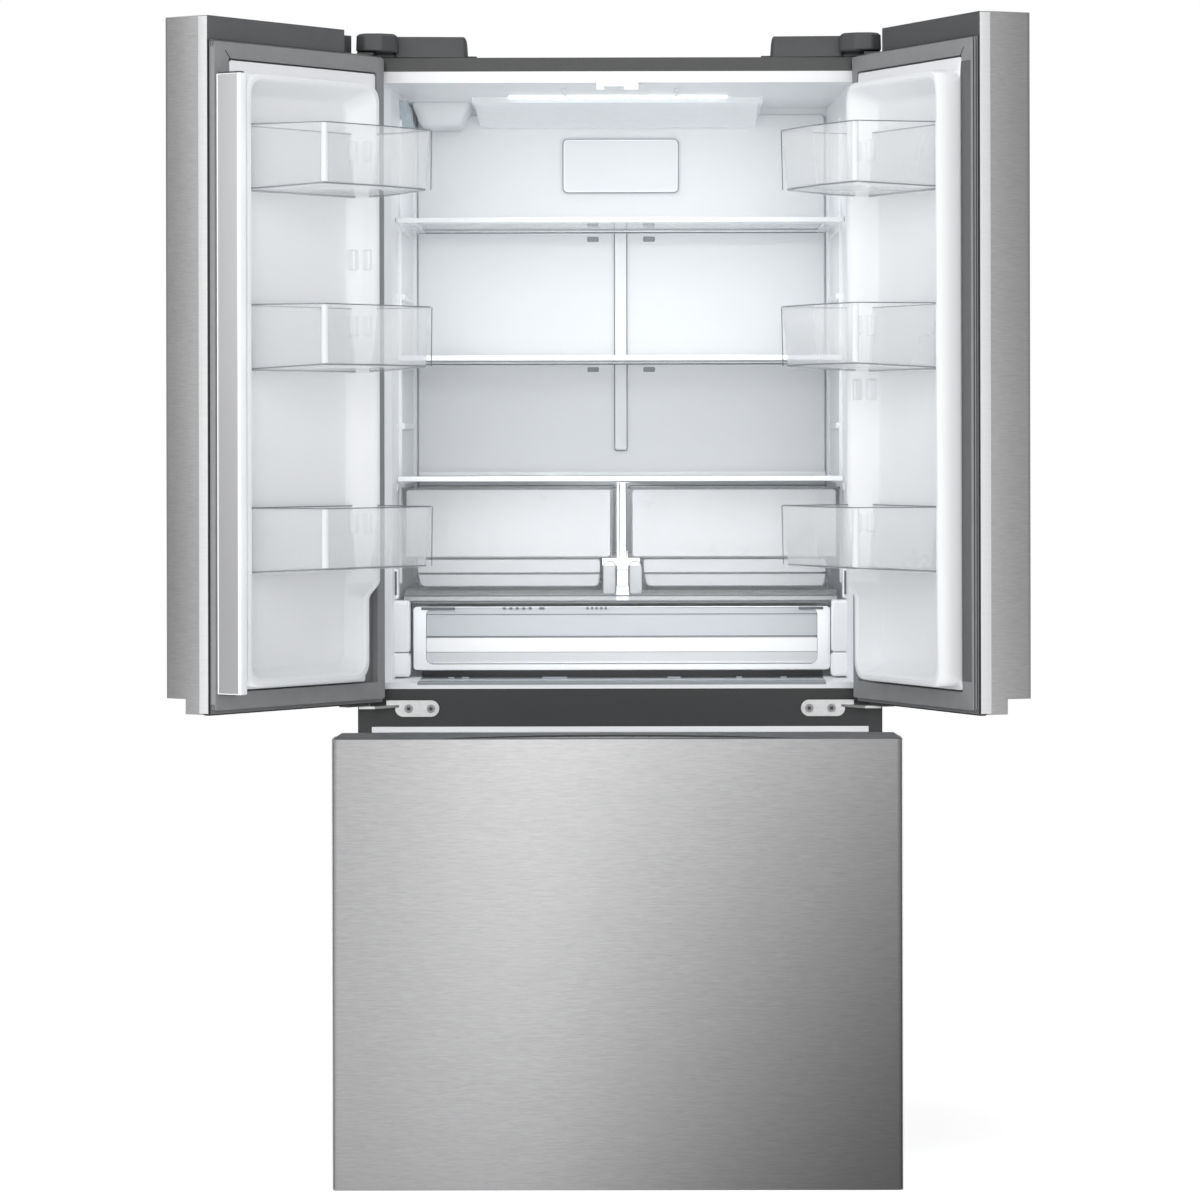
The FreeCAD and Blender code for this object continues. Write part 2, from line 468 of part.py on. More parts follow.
grip = cyl(700.0, 200.0, (0, FRONT - 700.0 + 62.0, FREEZER_TOP - 12.0))
shell = front_profile(0.0, INNER - 12.0).cut(front_profile(SHEET, INNER))
grip_out = grip.common(box(-300, 300, FRONT + 14.0, INNER - 14.0, 0, 900))
grip_pan = cyl(701.0, 14.0, (0, FRONT - 700.0 + 62.0, FREEZER_TOP - 13.0)).common(
    box(-301, 301, FRONT + 13.0, INNER - 13.0, 0, FREEZER_TOP))
shell = fuse([shell, grip_pan]).cut(grip_out)
parts["freezer_front_skin"] = pulled(shell)
core = front_profile(SHEET, INNER - 12.0).cut(grip_pan)
parts["freezer_front_core"] = pulled(core)
sheet = box(-HALF + 0.5, HALF - 0.5, INNER - 12.0, INNER, FREEZER_BOTTOM, FREEZER_TOP)
dike = box(-352.0, 352.0, INNER, INNER + 38.0, 128.0, 664.0)
dike = round_edges(dike, 24.0, lambda d, m: abs(d.y) > 0.999)
dike = dike.cut(box(-318.0, 318.0, INNER + 4.0, 100.0, 160.0, 632.0))
parts["freezer_front_liner"] = pulled(fuse([sheet, dike]))
ring = box(-408.0, 408.0, INNER, -1.0, 92.0, 698.0).cut(box(-393, 393, -20, 5, 107, 683))
parts["freezer_gasket"] = pulled(ring)

# telescopic slides: outer member on the wall, middle member, inner member on the front
SLIDE_Z0, SLIDE_Z1 = 352.0, 392.0
channel = box(-352.5, -346.5, 84.0, 520.0, SLIDE_Z0, SLIDE_Z1).cut(
    box(-348.5, -344.5, 80.0, 530.0, SLIDE_Z0 + 5, SLIDE_Z1 - 5))
seats = [box(-380.0, -352.5, y, y + 24.0, SLIDE_Z0 + 6, SLIDE_Z1 - 6).common(freezer_space(-0.05, 0.0))
         for y in (100.0, 300.0, 490.0)]
parts["slide_outer"] = both(fuse([channel] + seats))
parts["slide_middle"] = pulled(both(fuse([box(-348.2, -343.5, 60.0, 516.0, SLIDE_Z0 + 7, SLIDE_Z1 - 7),
                                          box(-343.5, -340.5, 60.0, 516.0, SLIDE_Z0 + 12, SLIDE_Z1 - 12)])),
                               DRAWER_OUT / 2)
inner_rail = fuse([box(-340.0, -334.5, INNER + 39.0, 480.0, SLIDE_Z0, SLIDE_Z1),
                   box(-340.0, -314.0, INNER + 38.0, INNER + 43.0, SLIDE_Z0 - 30, SLIDE_Z1 + 20),
                   box(-334.5, -320.5, INNER + 39.0, 372.0, SLIDE_Z0, SLIDE_Z0 + 4.0)])
parts["slide_inner"] = pulled(both(inner_rail))
bx, by0, by1, bz0, bz1 = 316.0, 36.0, 366.0, 126.0, 420.0
basket = tray([(-bx, by0), (bx, by0), (bx, by1), (-bx, by1)],
              [(-bx + 3, by0 + 3), (bx - 3, by0 + 3), (bx - 3, by1 - 3), (-bx + 3, by1 - 3)], bz0, bz1, 3.0)
rim = box(-bx - 10, bx + 10, by0, by1 + 8, SLIDE_Z0 + 4.0, SLIDE_Z0 + 8.0).cut(
    box(-bx + 3, bx - 3, by0 + 3, by1 - 3, 0, 900))
parts["freezer_basket"] = pulled(fuse([basket, rim]))
tx, ty0, ty1 = 334.0, 44.0, 528.0
tub = tray([(-tx, ty0), (tx, ty0), (tx, ty1), (-tx, ty1)],
           [(-tx + 3, ty0 + 3), (tx - 3, ty0 + 3), (tx - 3, ty1 - 3), (-tx + 3, ty1 - 3)], 452.0, 560.0, 3.0)
lip = box(-350.0, 350.0, ty0, ty1, 556.0, 560.0).cut(box(-tx + 3, tx - 3, ty0 + 3, ty1 - 3, 500, 600))
parts["freezer_tray"] = fuse([tub, lip])
ledge = both(box(-366.0, -338.0, 84.0, 534.0, 549.0, 555.5))
parts["freezer_liner"] = fuse([parts["freezer_liner"], ledge.common(freezer_space(1.0, 0.0))])

# ---- move the origin to the middle of the footprint and write the files --------------------
whole = Part.makeCompound(list(parts.values())).BoundBox
shift = V(-(whole.XMin + whole.XMax) / 2, -(whole.YMin + whole.YMax) / 2, 0)
os.makedirs("parts", exist_ok=True)
for node, shape in parts.items():
    shape.translate(shift)
    shape.exportStep("parts/" + node + ".step")
print(len(parts), "nodes; shift", shift, "size", whole.XLength, whole.YLength, whole.ZLength)
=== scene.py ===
import bpy
import bmesh
import math
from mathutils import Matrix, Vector

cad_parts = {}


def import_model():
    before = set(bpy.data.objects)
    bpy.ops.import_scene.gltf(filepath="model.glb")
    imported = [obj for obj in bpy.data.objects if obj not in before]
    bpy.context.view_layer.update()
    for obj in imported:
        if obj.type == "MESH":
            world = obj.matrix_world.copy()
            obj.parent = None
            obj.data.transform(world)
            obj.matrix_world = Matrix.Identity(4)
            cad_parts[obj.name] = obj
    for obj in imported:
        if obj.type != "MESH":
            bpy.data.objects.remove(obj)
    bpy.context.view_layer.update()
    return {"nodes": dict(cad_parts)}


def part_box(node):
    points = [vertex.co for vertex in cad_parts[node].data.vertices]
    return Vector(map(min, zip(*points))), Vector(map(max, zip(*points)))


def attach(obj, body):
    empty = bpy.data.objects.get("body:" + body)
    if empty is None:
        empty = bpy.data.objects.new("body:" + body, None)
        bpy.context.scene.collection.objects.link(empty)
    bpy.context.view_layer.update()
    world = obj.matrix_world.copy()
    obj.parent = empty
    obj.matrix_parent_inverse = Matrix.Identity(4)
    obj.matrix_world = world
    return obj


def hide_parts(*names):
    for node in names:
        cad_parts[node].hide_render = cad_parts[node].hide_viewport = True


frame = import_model()
nodes = frame["nodes"]

# Pieces are drawn in cabinet millimetres: X right from the cabinet's middle, Y back from its front
# flange, Z up from the floor. Doors are drawn closed and swung, the drawer closed and pulled.
lo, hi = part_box("cabinet_wrapper")
MID_X, FLANGE_Y = (lo.x + hi.x) / 2, lo.y
PIVOT_X, PIVOT_Y = 401.5, -34.0
OPEN = {"left": 126.0, "right": 114.0}
DRAWER_OUT = 505.0


# ---- places -------------------------------------------------------------------------------
def cabinet(p):
    return Vector((p[0] / 1000 + MID_X, p[1] / 1000 + FLANGE_Y, p[2] / 1000))


def pulled(p):
    return cabinet((p[0], p[1] - DRAWER_OUT, p[2]))


def swung(side):
    """Place for a closed left-door point, mirrored for the right door, at the open angle."""
    a = math.radians(OPEN[side])
    flip = 1 if side == "left" else -1

    def place(p):
        dx, dy = p[0] + PIVOT_X, p[1] - PIVOT_Y
        x = -PIVOT_X + dx * math.cos(a) + dy * math.sin(a)
        y = PIVOT_Y - dx * math.sin(a) + dy * math.cos(a)
        return cabinet((flip * x, y, p[2]))
    return place


def flipped(p):
    """Place on the right side for a point given on the left."""
    return cabinet((-p[0], p[1], p[2]))


# ---- materials ----------------------------------------------------------------------------
def node(tree, kind, **values):
    """New shader node, with sockets and settings given by name."""
    n = tree.nodes.new(kind)
    for key, value in values.items():
        if key in n.inputs:
            n.inputs[key].default_value = value
        else:
            setattr(n, key, value)
    return n


def material(name, colour, rough=0.4, metal=0.0, vary=0.04, grain=(40, 40, 40), bump=0.03,
             fine=(900, 900, 900), alpha=1.0, coat=0.0, rough_vary=0.08, glow=0.0, shade=None,
             fresnel=None, aniso=0.0):
    """Principled material with uneven tone and gloss, fine grit, and an optional painted shade (a tone
    fall).
    """
    m = bpy.data.materials.new(name)
    m.use_nodes = True
    t = m.node_tree
    b = t.nodes["Principled BSDF"]
    link = t.links.new
    b.inputs["Metallic"].default_value = metal
    b.inputs["IOR"].default_value = 1.45
    b.inputs["Coat Weight"].default_value = coat
    b.inputs["Coat Roughness"].default_value = 0.08
    b.inputs["Anisotropic"].default_value = aniso
    b.inputs["Alpha"].default_value = alpha
    if glow:
        b.inputs["Emission Color"].default_value = (*colour, 1)
        b.inputs["Emission Strength"].default_value = glow
    coords = node(t, "ShaderNodeTexCoord")
    stretch = node(t, "ShaderNodeMapping", Scale=grain)
    link(coords.outputs["Object"], stretch.inputs["Vector"])
    noise = node(t, "ShaderNodeTexNoise", Scale=1.0, Detail=5.0, Roughness=0.6)
    link(stretch.outputs["Vector"], noise.inputs["Vector"])
    tone = node(t, "ShaderNodeMapRange")
    tone.inputs["From Min"].default_value, tone.inputs["From Max"].default_value = 0.3, 0.7
    tone.inputs["To Min"].default_value, tone.inputs["To Max"].default_value = 1 - vary, 1 + vary
    link(noise.outputs["Fac"], tone.inputs["Value"])
    scale = node(t, "ShaderNodeVectorMath", operation="SCALE")
    scale.inputs[0].default_value = colour
    link(tone.outputs["Result"], scale.inputs["Scale"])
    out = scale.outputs["Vector"]
    if shade:
        out = shade(t, coords, out)
    link(out, b.inputs["Base Color"])
    rr = node(t, "ShaderNodeMapRange")
    rr.inputs["To Min"].default_value = max(rough - rough_vary, 0.02)
    rr.inputs["To Max"].default_value = rough + rough_vary
    link(noise.outputs["Fac"], rr.inputs["Value"])
    link(rr.outputs["Result"], b.inputs["Roughness"])
    fine_map = node(t, "ShaderNodeMapping", Scale=fine)
    link(coords.outputs["Object"], fine_map.inputs["Vector"])
    grit = node(t, "ShaderNodeTexNoise", Scale=1.0, Detail=3.0)
    link(fine_map.outputs["Vector"], grit.inputs["Vector"])
    lift = node(t, "ShaderNodeBump", Strength=bump, Distance=0.0005)
    link(grit.outputs["Fac"], lift.inputs["Height"])
    link(lift.outputs["Normal"], b.inputs["Normal"])
    if fresnel:
        facing = node(t, "ShaderNodeLayerWeight", Blend=fresnel[0])
        see = node(t, "ShaderNodeMapRange")
        see.inputs["To Min"].default_value, see.inputs["To Max"].default_value = alpha, fresnel[1]
        link(facing.outputs["Facing"], see.inputs["Value"])
        link(see.outputs["Result"], b.inputs["Alpha"])
    return m


def painted_shade_along(axis_weights, start, stop, dark):
    """Painted shade: tone that falls from 1 to dark along a direction fixed in the object."""
    def shade(t, coords, colour):
        dot = node(t, "ShaderNodeVectorMath", operation="DOT_PRODUCT")
        dot.inputs[1].default_value = axis_weights
        t.links.new(coords.outputs["Object"], dot.inputs[0])
        fall = node(t, "ShaderNodeMapRange", interpolation_type="SMOOTHSTEP")
        fall.inputs["From Min"].default_value, fall.inputs["From Max"].default_value = start, stop
        fall.inputs["To Min"].default_value, fall.inputs["To Max"].default_value = 1.0, dark
        t.links.new(dot.outputs["Value"], fall.inputs["Value"])
        s = node(t, "ShaderNodeVectorMath", operation="SCALE")
        t.links.new(colour, s.inputs[0])
        t.links.new(fall.outputs["Result"], s.inputs["Scale"])
        return s.outputs["Vector"]
    return shade


def both_ways(first, second):
    return lambda t, coords, colour: second(t, coords, first(t, coords, colour))


def even(size):
    return (size, size, size)


BRUSH = dict(metal=1.0, vary=0.11, grain=(58, 58, 980), bump=0.09, fine=(50, 50, 1700), rough_vary=0.06,
             aniso=0.5)
PAINT = dict(vary=0.05, grain=even(60), bump=0.05, fine=even(1500), coat=0.15)
TEXTURED = dict(vary=0.05, bump=0.10, fine=even(2200))
MOULDED = dict(vary=0.004, bump=0.015, fine=even(900), rough_vary=0.01)
SEAM = dict(vary=0.04, grain=even(80))
PANE = dict(vary=0.01, grain=even(10), rough_vary=0.02)

# brushed steel: each front has its own painted shade, a tone fall fixed in the object's directions that
# stands in for the shading of its reflections
steel_front_painted_shade = material("brushed_steel_front", (0.615, 0.615, 0.623), 0.33, **BRUSH, shade=both_ways(
    painted_shade_along((0.83, 0, -0.55), -0.75, 0.44, 0.11), painted_shade_along((-1, 0, 0), 0.02, 0.42, 0.58)))
steel_left_painted_shade = material("brushed_steel_left", (0.74, 0.738, 0.746), 0.34, **BRUSH, shade=both_ways(
    painted_shade_along((-0.809, 0.588, 0), 0.25, 0.335, 0.62), painted_shade_along((0, 0, -1), -1.3, -0.74, 0.78)))
steel_right_painted_shade = material("brushed_steel_right", (0.63, 0.629, 0.636), 0.34, **BRUSH, shade=both_ways(
    painted_shade_along((0.9135, 0.4067, 0), 0.353, 0.443, 0.72), painted_shade_along((0, 0, -1), -1.2, -0.74, 0.84)))
# folded steel edges in a pale, nearly non-metal grey: a painted highlight where the edge catches the
# light
painted_edge_highlight = material("steel_edge_painted_highlight", (0.69, 0.695, 0.70), 0.40, metal=0.15, vary=0.03, grain=(9, 9, 500),
                    bump=0.03)

# other metals
zinc = material("zinc_plate", (0.59, 0.59, 0.59), 0.36, metal=1.0, vary=0.06, grain=even(160), bump=0.05)
chrome = material("screw_steel", (0.30, 0.30, 0.31), 0.30, metal=1.0, vary=0.05, grain=even(300))
# near-black in the screws' drive hollows: painted shade
recess = material("screw_drive_painted_shade", (0.05, 0.05, 0.05), 0.5, metal=0.6, vary=0.1, grain=even(300))
painted = material("painted_dark_steel", (0.026, 0.027, 0.028), 0.46, **PAINT)
case_side = material("painted_case", (0.027, 0.028, 0.029), 0.42, **PAINT)
black_paint = material("black_enamel", (0.03, 0.03, 0.032), 0.35, vary=0.1, grain=even(70), bump=0.1)
tube_steel = material("tube_steel", (0.18, 0.18, 0.185), 0.4, metal=0.7, vary=0.1, grain=even(60))
mill = material("mill_aluminium", (0.72, 0.73, 0.74), 0.35, metal=1.0, vary=0.05, grain=(300, 30, 30))
galvanised = material("galvanised_sheet", (0.60, 0.61, 0.62), 0.42, metal=1.0, vary=0.14, grain=even(55),
                      bump=0.08)

# dark and grey plastics, gaskets and seams
cap_plastic = material("charcoal_plastic", (0.075, 0.078, 0.082), 0.48, **TEXTURED)
# the left door's caps get a paler copy of the charcoal plastic: painted light
cap_plastic_lit_copy = material("charcoal_plastic_painted_light", (0.100, 0.104, 0.109), 0.48, **TEXTURED)
cover_plastic = material("cover_plastic", (0.058, 0.060, 0.063), 0.46, **TEXTURED)
# darker copy of the charcoal plastic for the drawer's top cap: painted shade against the light from
# above
top_dark = material("drawer_top_painted_shade", (0.038, 0.040, 0.043), 0.45, vary=0.05, bump=0.08,
                    fine=even(2200))
frame_plastic = material("grey_frame_plastic", (0.20, 0.201, 0.207), 0.45, vary=0.04, bump=0.08,
                         fine=even(2000))
gasket_rubber = material("gasket_rubber", (0.25, 0.255, 0.262), 0.55, vary=0.05, bump=0.06,
                         fine=even(1200))
# near-black rubber for painted shade in the gasket's folds
gasket_fold_shade = material("gasket_fold", (0.05, 0.052, 0.055), 0.6, vary=0.05, grain=even(80))
# paler copy of the gasket rubber: painted light
gasket_painted_light = material("gasket_side_painted_light", (0.26, 0.263, 0.27), 0.55, **SEAM)
gasket_face = material("gasket_face", (0.115, 0.118, 0.122), 0.55, vary=0.05, grain=even(80))
rubber = material("black_rubber", (0.03, 0.03, 0.03), 0.7, vary=0.1, grain=even(100), bump=0.2)
vent_grey = material("vent_grey", (0.33, 0.35, 0.37), 0.5, **SEAM)
line_grey = material("seam_grey", (0.30, 0.33, 0.35), 0.5, **SEAM)
line_dark = material("seam_dark", (0.13, 0.142, 0.155), 0.5, **SEAM)
floor_grey = material("floor_plate_grey", (0.27, 0.295, 0.32), 0.40, vary=0.03, grain=even(30))
# near-black for the dark joints, and for the painted shadow under the wide drawer
dark_joint_and_painted_shadow = material("dark_joint_and_painted_shadow", (0.018, 0.019, 0.021), 0.5, vary=0.06, grain=even(60))

# white mouldings and the foam behind them
white = material("white_moulding", (0.868, 0.880, 0.898), 0.30, grain=even(9), coat=0.2, **MOULDED)
white_soft = material("white_liner", (0.84, 0.853, 0.872), 0.34, grain=even(5), coat=0.15, **MOULDED)
bright = material("white_trim", (0.93, 0.95, 0.97), 0.25, vary=0.01, grain=even(20), bump=0.01, coat=0.3)
# grey face darker towards the bottom: painted shade
flap_face_painted_shade = material("flap_grey_painted_shade", (0.50, 0.502, 0.512), 0.36, metal=0.15, vary=0.02, grain=(4, 4, 1.2),
                     bump=0.02, shade=painted_shade_along((0, 0, -1), -1.6, -0.75, 0.72))
foam = material("rigid_foam", (0.80, 0.74, 0.52), 0.8, vary=0.12, grain=even(140), bump=0.4,
                fine=even(500))

# clear plastics and glass
clear = material("clear_styrene", (0.88, 0.90, 0.915), 0.09, vary=0.02, grain=even(12), alpha=0.14,
                 fresnel=(0.35, 0.5), rough_vary=0.03, bump=0.01)
clear_edge = material("clear_edge", (0.22, 0.24, 0.255), 0.10, vary=0.06, grain=even(30), alpha=0.78,
                      rough_vary=0.03, bump=0.01)
clear_rib = material("clear_rib", (0.95, 0.96, 0.97), 0.14, vary=0.02, grain=even(30), alpha=0.62,
                     rough_vary=0.03, bump=0.01)
frost = material("frosted_clear", (0.92, 0.935, 0.95), 0.30, vary=0.03, grain=even(14), alpha=0.40,
                 rough_vary=0.05, bump=0.02)
thin = material("thin_clear", (0.90, 0.915, 0.93), 0.10, vary=0.01, grain=even(12), alpha=0.10,
                rough_vary=0.02, bump=0.0)
veil = material("crisper_veil", (0.80, 0.815, 0.835), 0.28, vary=0.01, grain=even(12), alpha=0.34,
                rough_vary=0.02, bump=0.0)
pane_grey = material("window_upper", (0.62, 0.65, 0.68), 0.22, alpha=0.72, **PANE)
pane_low = material("window_lower", (0.76, 0.78, 0.80), 0.22, alpha=0.78, **PANE)
pane_bright = material("window_band", (0.95, 0.96, 0.97), 0.22, alpha=0.88, **PANE)
cup_blue = material("blue_cup", (0.52, 0.60, 0.66), 0.15, vary=0.10, grain=even(60), alpha=0.50,
                    rough_vary=0.03)
glass = material("shelf_glass", (0.80, 0.86, 0.87), 0.06, vary=0.01, grain=even(6), alpha=0.10,
                 fresnel=(0.25, 0.75), rough_vary=0.02, bump=0.004)
lamp_glow = material("lamp_diffuser", (1.0, 1.0, 1.0), 0.4, vary=0.01, glow=3.0)
# the cover glows faintly: partly the lamp's own light, partly painted light lifting the shade behind it
lamp_lens = material("lamp_cover_painted_glow", (0.94, 0.965, 0.98), 0.25, vary=0.01, alpha=0.46, rough_vary=0.02,
                     glow=0.16)


# ---- mesh helpers -------------------------------------------------------------------------
AXES = {"z": lambda u, v, h: (u, v, h), "y": lambda u, v, h: (u, h, v), "x": lambda u, v, h: (h, u, v)}


def fillet(corners, radii, k=6):
    """Closed 2D outline with circular corners, always k + 1 points a corner."""
    out, n = [], len(corners)
    for i in range(n):
        p = Vector(corners[i])
        a = (Vector(corners[i - 1]) - p).normalized()
        b = (Vector(corners[(i + 1) % n]) - p).normalized()
        half = max(a.angle(b) / 2, 0.01)
        r = radii[i] if isinstance(radii, (list, tuple)) else radii
        t = r / math.tan(half)
        p0, p2, w = p + a * t, p + b * t, math.sin(half)
        for j in range(k + 1):
            s = j / k
            q = (1 - s) ** 2, 2 * s * (1 - s) * w, s * s
            out.append((p0 * q[0] + p * q[1] + p2 * q[2]) / sum(q))
    return [(v.x, v.y) for v in out]


def rect(u0, u1, v0, v1, r, k=6):
    return fillet([(u0, v0), (u1, v0), (u1, v1), (u0, v1)], r, k)


def upright(x0, x1, z0, z1, r):
    """Rectangle of a door or drawer front, run from its top left corner."""
    return fillet([(x0, z1), (x1, z1), (x1, z0), (x0, z0)], r)


def inset(loop, d):
    """Outline moved inward by d, whichever way round it runs."""
    n = len(loop)
    area = sum(loop[i][0] * loop[(i + 1) % n][1] - loop[(i + 1) % n][0] * loop[i][1] for i in range(n))
    s = 1 if area > 0 else -1
    out = []
    for i in range(n):
        p = Vector(loop[i])
        a = p - Vector(loop[i - 1])
        b = Vector(loop[(i + 1) % n]) - p
        if a.length < 1e-6:
            a = b
        if b.length < 1e-6:
            b = a
        na, nb = Vector((-a.y, a.x)).normalized(), Vector((-b.y, b.x)).normalized()
        m = na + nb
        m = m / max(m.dot(na), 0.35)
        out.append(tuple(p + m * d * s))
    return out


class Form:
    """Collects lofts, slabs and turned shapes into one mesh."""

    def __init__(self, place=cabinet):
        self.bm, self.place = bmesh.new(), place

    def verts(self, loop):
        return [self.bm.verts.new(self.place(p)) for p in loop]

    def bridge(self, rings):
        """Faces between each ring of vertices and the next."""
        n = len(rings[0])
        for a, b in zip(rings, rings[1:]):
            for i in range(n):
                j = (i + 1) % n
                self.bm.faces.new((a[i], a[j], b[j], b[i]))

    def loft(self, loops, start=True, end=True):
        """Skin over closed loops of points, with a cap at each end."""
        rings = [self.verts(loop) for loop in loops]
        self.bridge(rings)
        if start:
            self.bm.faces.new(rings[0][::-1])
        if end:
            self.bm.faces.new(rings[-1])
        return self

    def stack(self, layers, axis="z", start=True, end=True):
        """Loft through pairs of an outline and its height along one axis."""
        put = AXES[axis]
        return self.loft([[put(u, v, h) for u, v in loop] for loop, h in layers], start, end)

    def slab(self, outline, h0, h1, axis="z", ease=0.0):
        """Outline in the two other axes, extruded along one axis, with eased rims."""
        if ease:
            small = inset(outline, ease)
            return self.stack([(small, h0), (outline, h0 + ease), (outline, h1 - ease), (small, h1)],
                              axis)
        return self.stack([(outline, h0), (outline, h1)], axis)

    def bar(self, x0, x1, y0, y1, z0, z1, r=1.0):
        """Block with rounded upright corners and eased ends."""
        r = min(r, (x1 - x0) / 2.05, (y1 - y0) / 2.05, (z1 - z0) / 2.05)
        return self.slab(rect(x0, x1, y0, y1, r, 3), z0, z1, "z", r * 0.6)

    def ring(self, outer, inner, h0, h1, axis="z"):
        """Closed band between two outlines, extruded along one axis."""
        put = AXES[axis]
        rings = [self.verts([put(u, v, h) for u, v in loop])
                 for loop, h in ((outer, h0), (outer, h1), (inner, h1), (inner, h0))]
        self.bridge(rings + rings[:1])
        return self

    def turn(self, profile, base, axis="z", n=28):
        """Profile of (radius, height) pairs turned about a line through base."""
        loops = []
        for r, h in profile:
            loop = []
            for i in range(n):
                c, s = r * math.cos(2 * math.pi * i / n), r * math.sin(2 * math.pi * i / n)
                d = AXES[axis](c, s, h)
                loop.append((base[0] + d[0], base[1] + d[1], base[2] + d[2]))
            loops.append(loop)
        return self.loft(loops)

    def done(self, name, body, mat, replaces=(), slot=None, sharp=38, stage=False):
        """Turn the form into an object that rides on a body, or into a part of the stage."""
        bmesh.ops.recalc_face_normals(self.bm, faces=self.bm.faces)
        mesh = bpy.data.meshes.new(name)
        self.bm.to_mesh(mesh)
        self.bm.free()
        for p in mesh.polygons:
            p.use_smooth = True
        mesh.set_sharp_from_angle(angle=math.radians(sharp))
        o = bpy.data.objects.new(name, mesh)
        bpy.context.scene.collection.objects.link(o)
        mesh.materials.append(mat)
        if stage:
            return o
        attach(o, body)
        if replaces:
            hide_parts(*replaces)
        return o


def repaint(name, mat):
    o = nodes[name]
    o.data.materials.clear()
    o.data.materials.append(mat)
    for p in o.data.polygons:
        p.material_index = 0


# ---- carried-over CAD nodes ---------------------------------------------------------------
for name, mat in {
        "cabinet_wrapper": case_side, "back_panel": galvanised, "fridge_liner": white_soft,
        "freezer_liner": white_soft, "insulation": foam, "divider_rail": painted,
        "base_plate": galvanised, "levelling_feet": cap_plastic, "roller_left": rubber,
        "roller_right": rubber, "compressor": black_paint, "condenser": tube_steel, "evaporator": mill,
        "evaporator_cover": white, "evaporator_fan": white, "air_duct": white_soft,
        "lamp_housing": lamp_lens, "lamp_strip": lamp_glow, "control_housing": white_soft,
        "flap_guide": white, "shelf_upper": bright, "shelf_lower": bright, "crisper_cover": bright,
        "shelf_glass": glass, "crisper_divider": white, "pantry_cover": clear, "pantry_rails": white,
        "top_hinge_left": painted, "top_hinge_right": painted, "mid_hinge_left": zinc,
        "mid_hinge_right": zinc, "hinge_screws": chrome, "left_door_skin": steel_left_painted_shade,
        "right_door_skin": steel_right_painted_shade, "left_door_core": foam, "right_door_core": foam,
        "left_door_caps": cap_plastic_lit_copy, "right_door_caps": cap_plastic, "freezer_front_skin": steel_front_painted_shade,
        "freezer_front_core": foam, "slide_outer": zinc, "slide_middle": zinc, "slide_inner": zinc,
        "freezer_tray": frost, "freezer_basket": frost}.items():
    repaint(name, mat)


# ---- what the doors and the drawer share --------------------------------------------------
# gasket folds: Y before the cabinet's flange and how far in from the gasket's outer edge
GASKET = [(-13.0, 0), (-11.6, 0), (-11.2, 2.6), (-9.4, 2.6), (-9.0, 0), (-7.2, 0), (-6.8, 2.6),
          (-5.0, 2.6), (-4.6, 0), (-2.6, 0), (-2.0, 1.2)]
FRAME_ROOT, FRAME_EDGE = -24.5, -14.0


def inner_frame(place, outer, hole, face):
    """Frame inside a front, with an eased outer edge and an open middle."""
    return Form(place).stack([(outer, FRAME_ROOT), (outer, FRAME_EDGE), (inset(outer, 1.0), face),
                              (hole, face), (hole, FRAME_ROOT)], "y", False, False)


def gasket_ring(place, outer, inner):
    """Folded rubber ring from its outer lip to the inner edge."""
    return Form(place).stack([(inset(outer, d), y) for y, d in GASKET]
                             + [(inset(inner, -1.0), -2.0), (inner, -12.8)], "y", False, False)


# ---- doors --------------------------------------------------------------------------------
FOAM_CORNER_Z = 912.0
BIN_SOLES, BIN_HIGH, BIN_WALL = (1527.0, 1254.0, 946.0), 93.0, 2.4
SPARE_BOSS = {"left": 1407.0, "right": 1203.0}


def liner_outline(x0, x1, z0, z1, r, notch=27.0):
    """Door liner outline, narrower at the hinge side below a slanted shoulder."""
    return fillet([(x0, z1), (x1, z1), (x1, z0), (x0 + notch, z0), (x0 + notch, 897.0), (x0, 918.0)],
                  [r, r, r, r, min(r, 14), min(r, 14)])


# Y, then the outline's sides, corner radius and notch, from the frame over the rim into the pan
LINER_RINGS = [
    (-13.0, -388, -40, 762, 1719, 5), (-3.0, -388, -40, 762, 1719, 5), (-0.5, -384, -38, 768, 1710, 9),
    (0.6, -380, -37.4, 768, 1702, 12), (2.4, -376, -36.8, 768, 1698.6, 15),
    (24, -356, -30.5, 768, 1698.6, 22), (36, -349, -29, 767, 1698.4, 28),
    (40.5, -345, -30, 768, 1697.4, 28), (42.3, -341, -33, 771, 1695, 27),
    (42.3, -336, -38, 776, 1690, 25), (39.5, -332, -41, 780, 1687, 22),
    (26, -325, -45, 784, 1682, 20, 19), (10, -313, -52, 790, 1672, 18, 9),
    (4.5, -308, -55, 793, 1668, 16, 5),
    (2.6, -305.5, -57, 795, 1665, 15, 3), (1.6, -301, -61, 799, 1660, 13, 1),
    (1.0, -292, -70, 806, 1651, 10, 1)]


def door_liner(place, body, pre):
    """Grey frame, filled behind the liner's notch, and the white moulded liner."""
    outer, hole = upright(-416.8, -2.8, 726.6, 1749.8, 3.0), upright(-386, -42, 764, 1717, 4)
    f = inner_frame(place, outer, hole, -13.1)
    f.bar(-388.0, -355.0, -24.0, -13.2, 760.0, FOAM_CORNER_Z, 1.0)
    f.done(pre + "inner_frame", body, frame_plastic, (pre + "liner",), "white_plastic")
    f = Form(place)
    f.stack([(liner_outline(*sides), y) for y, *sides in LINER_RINGS], "y", False)
    f.done(pre + "liner_pan", body, white, slot="white_plastic", sharp=24)


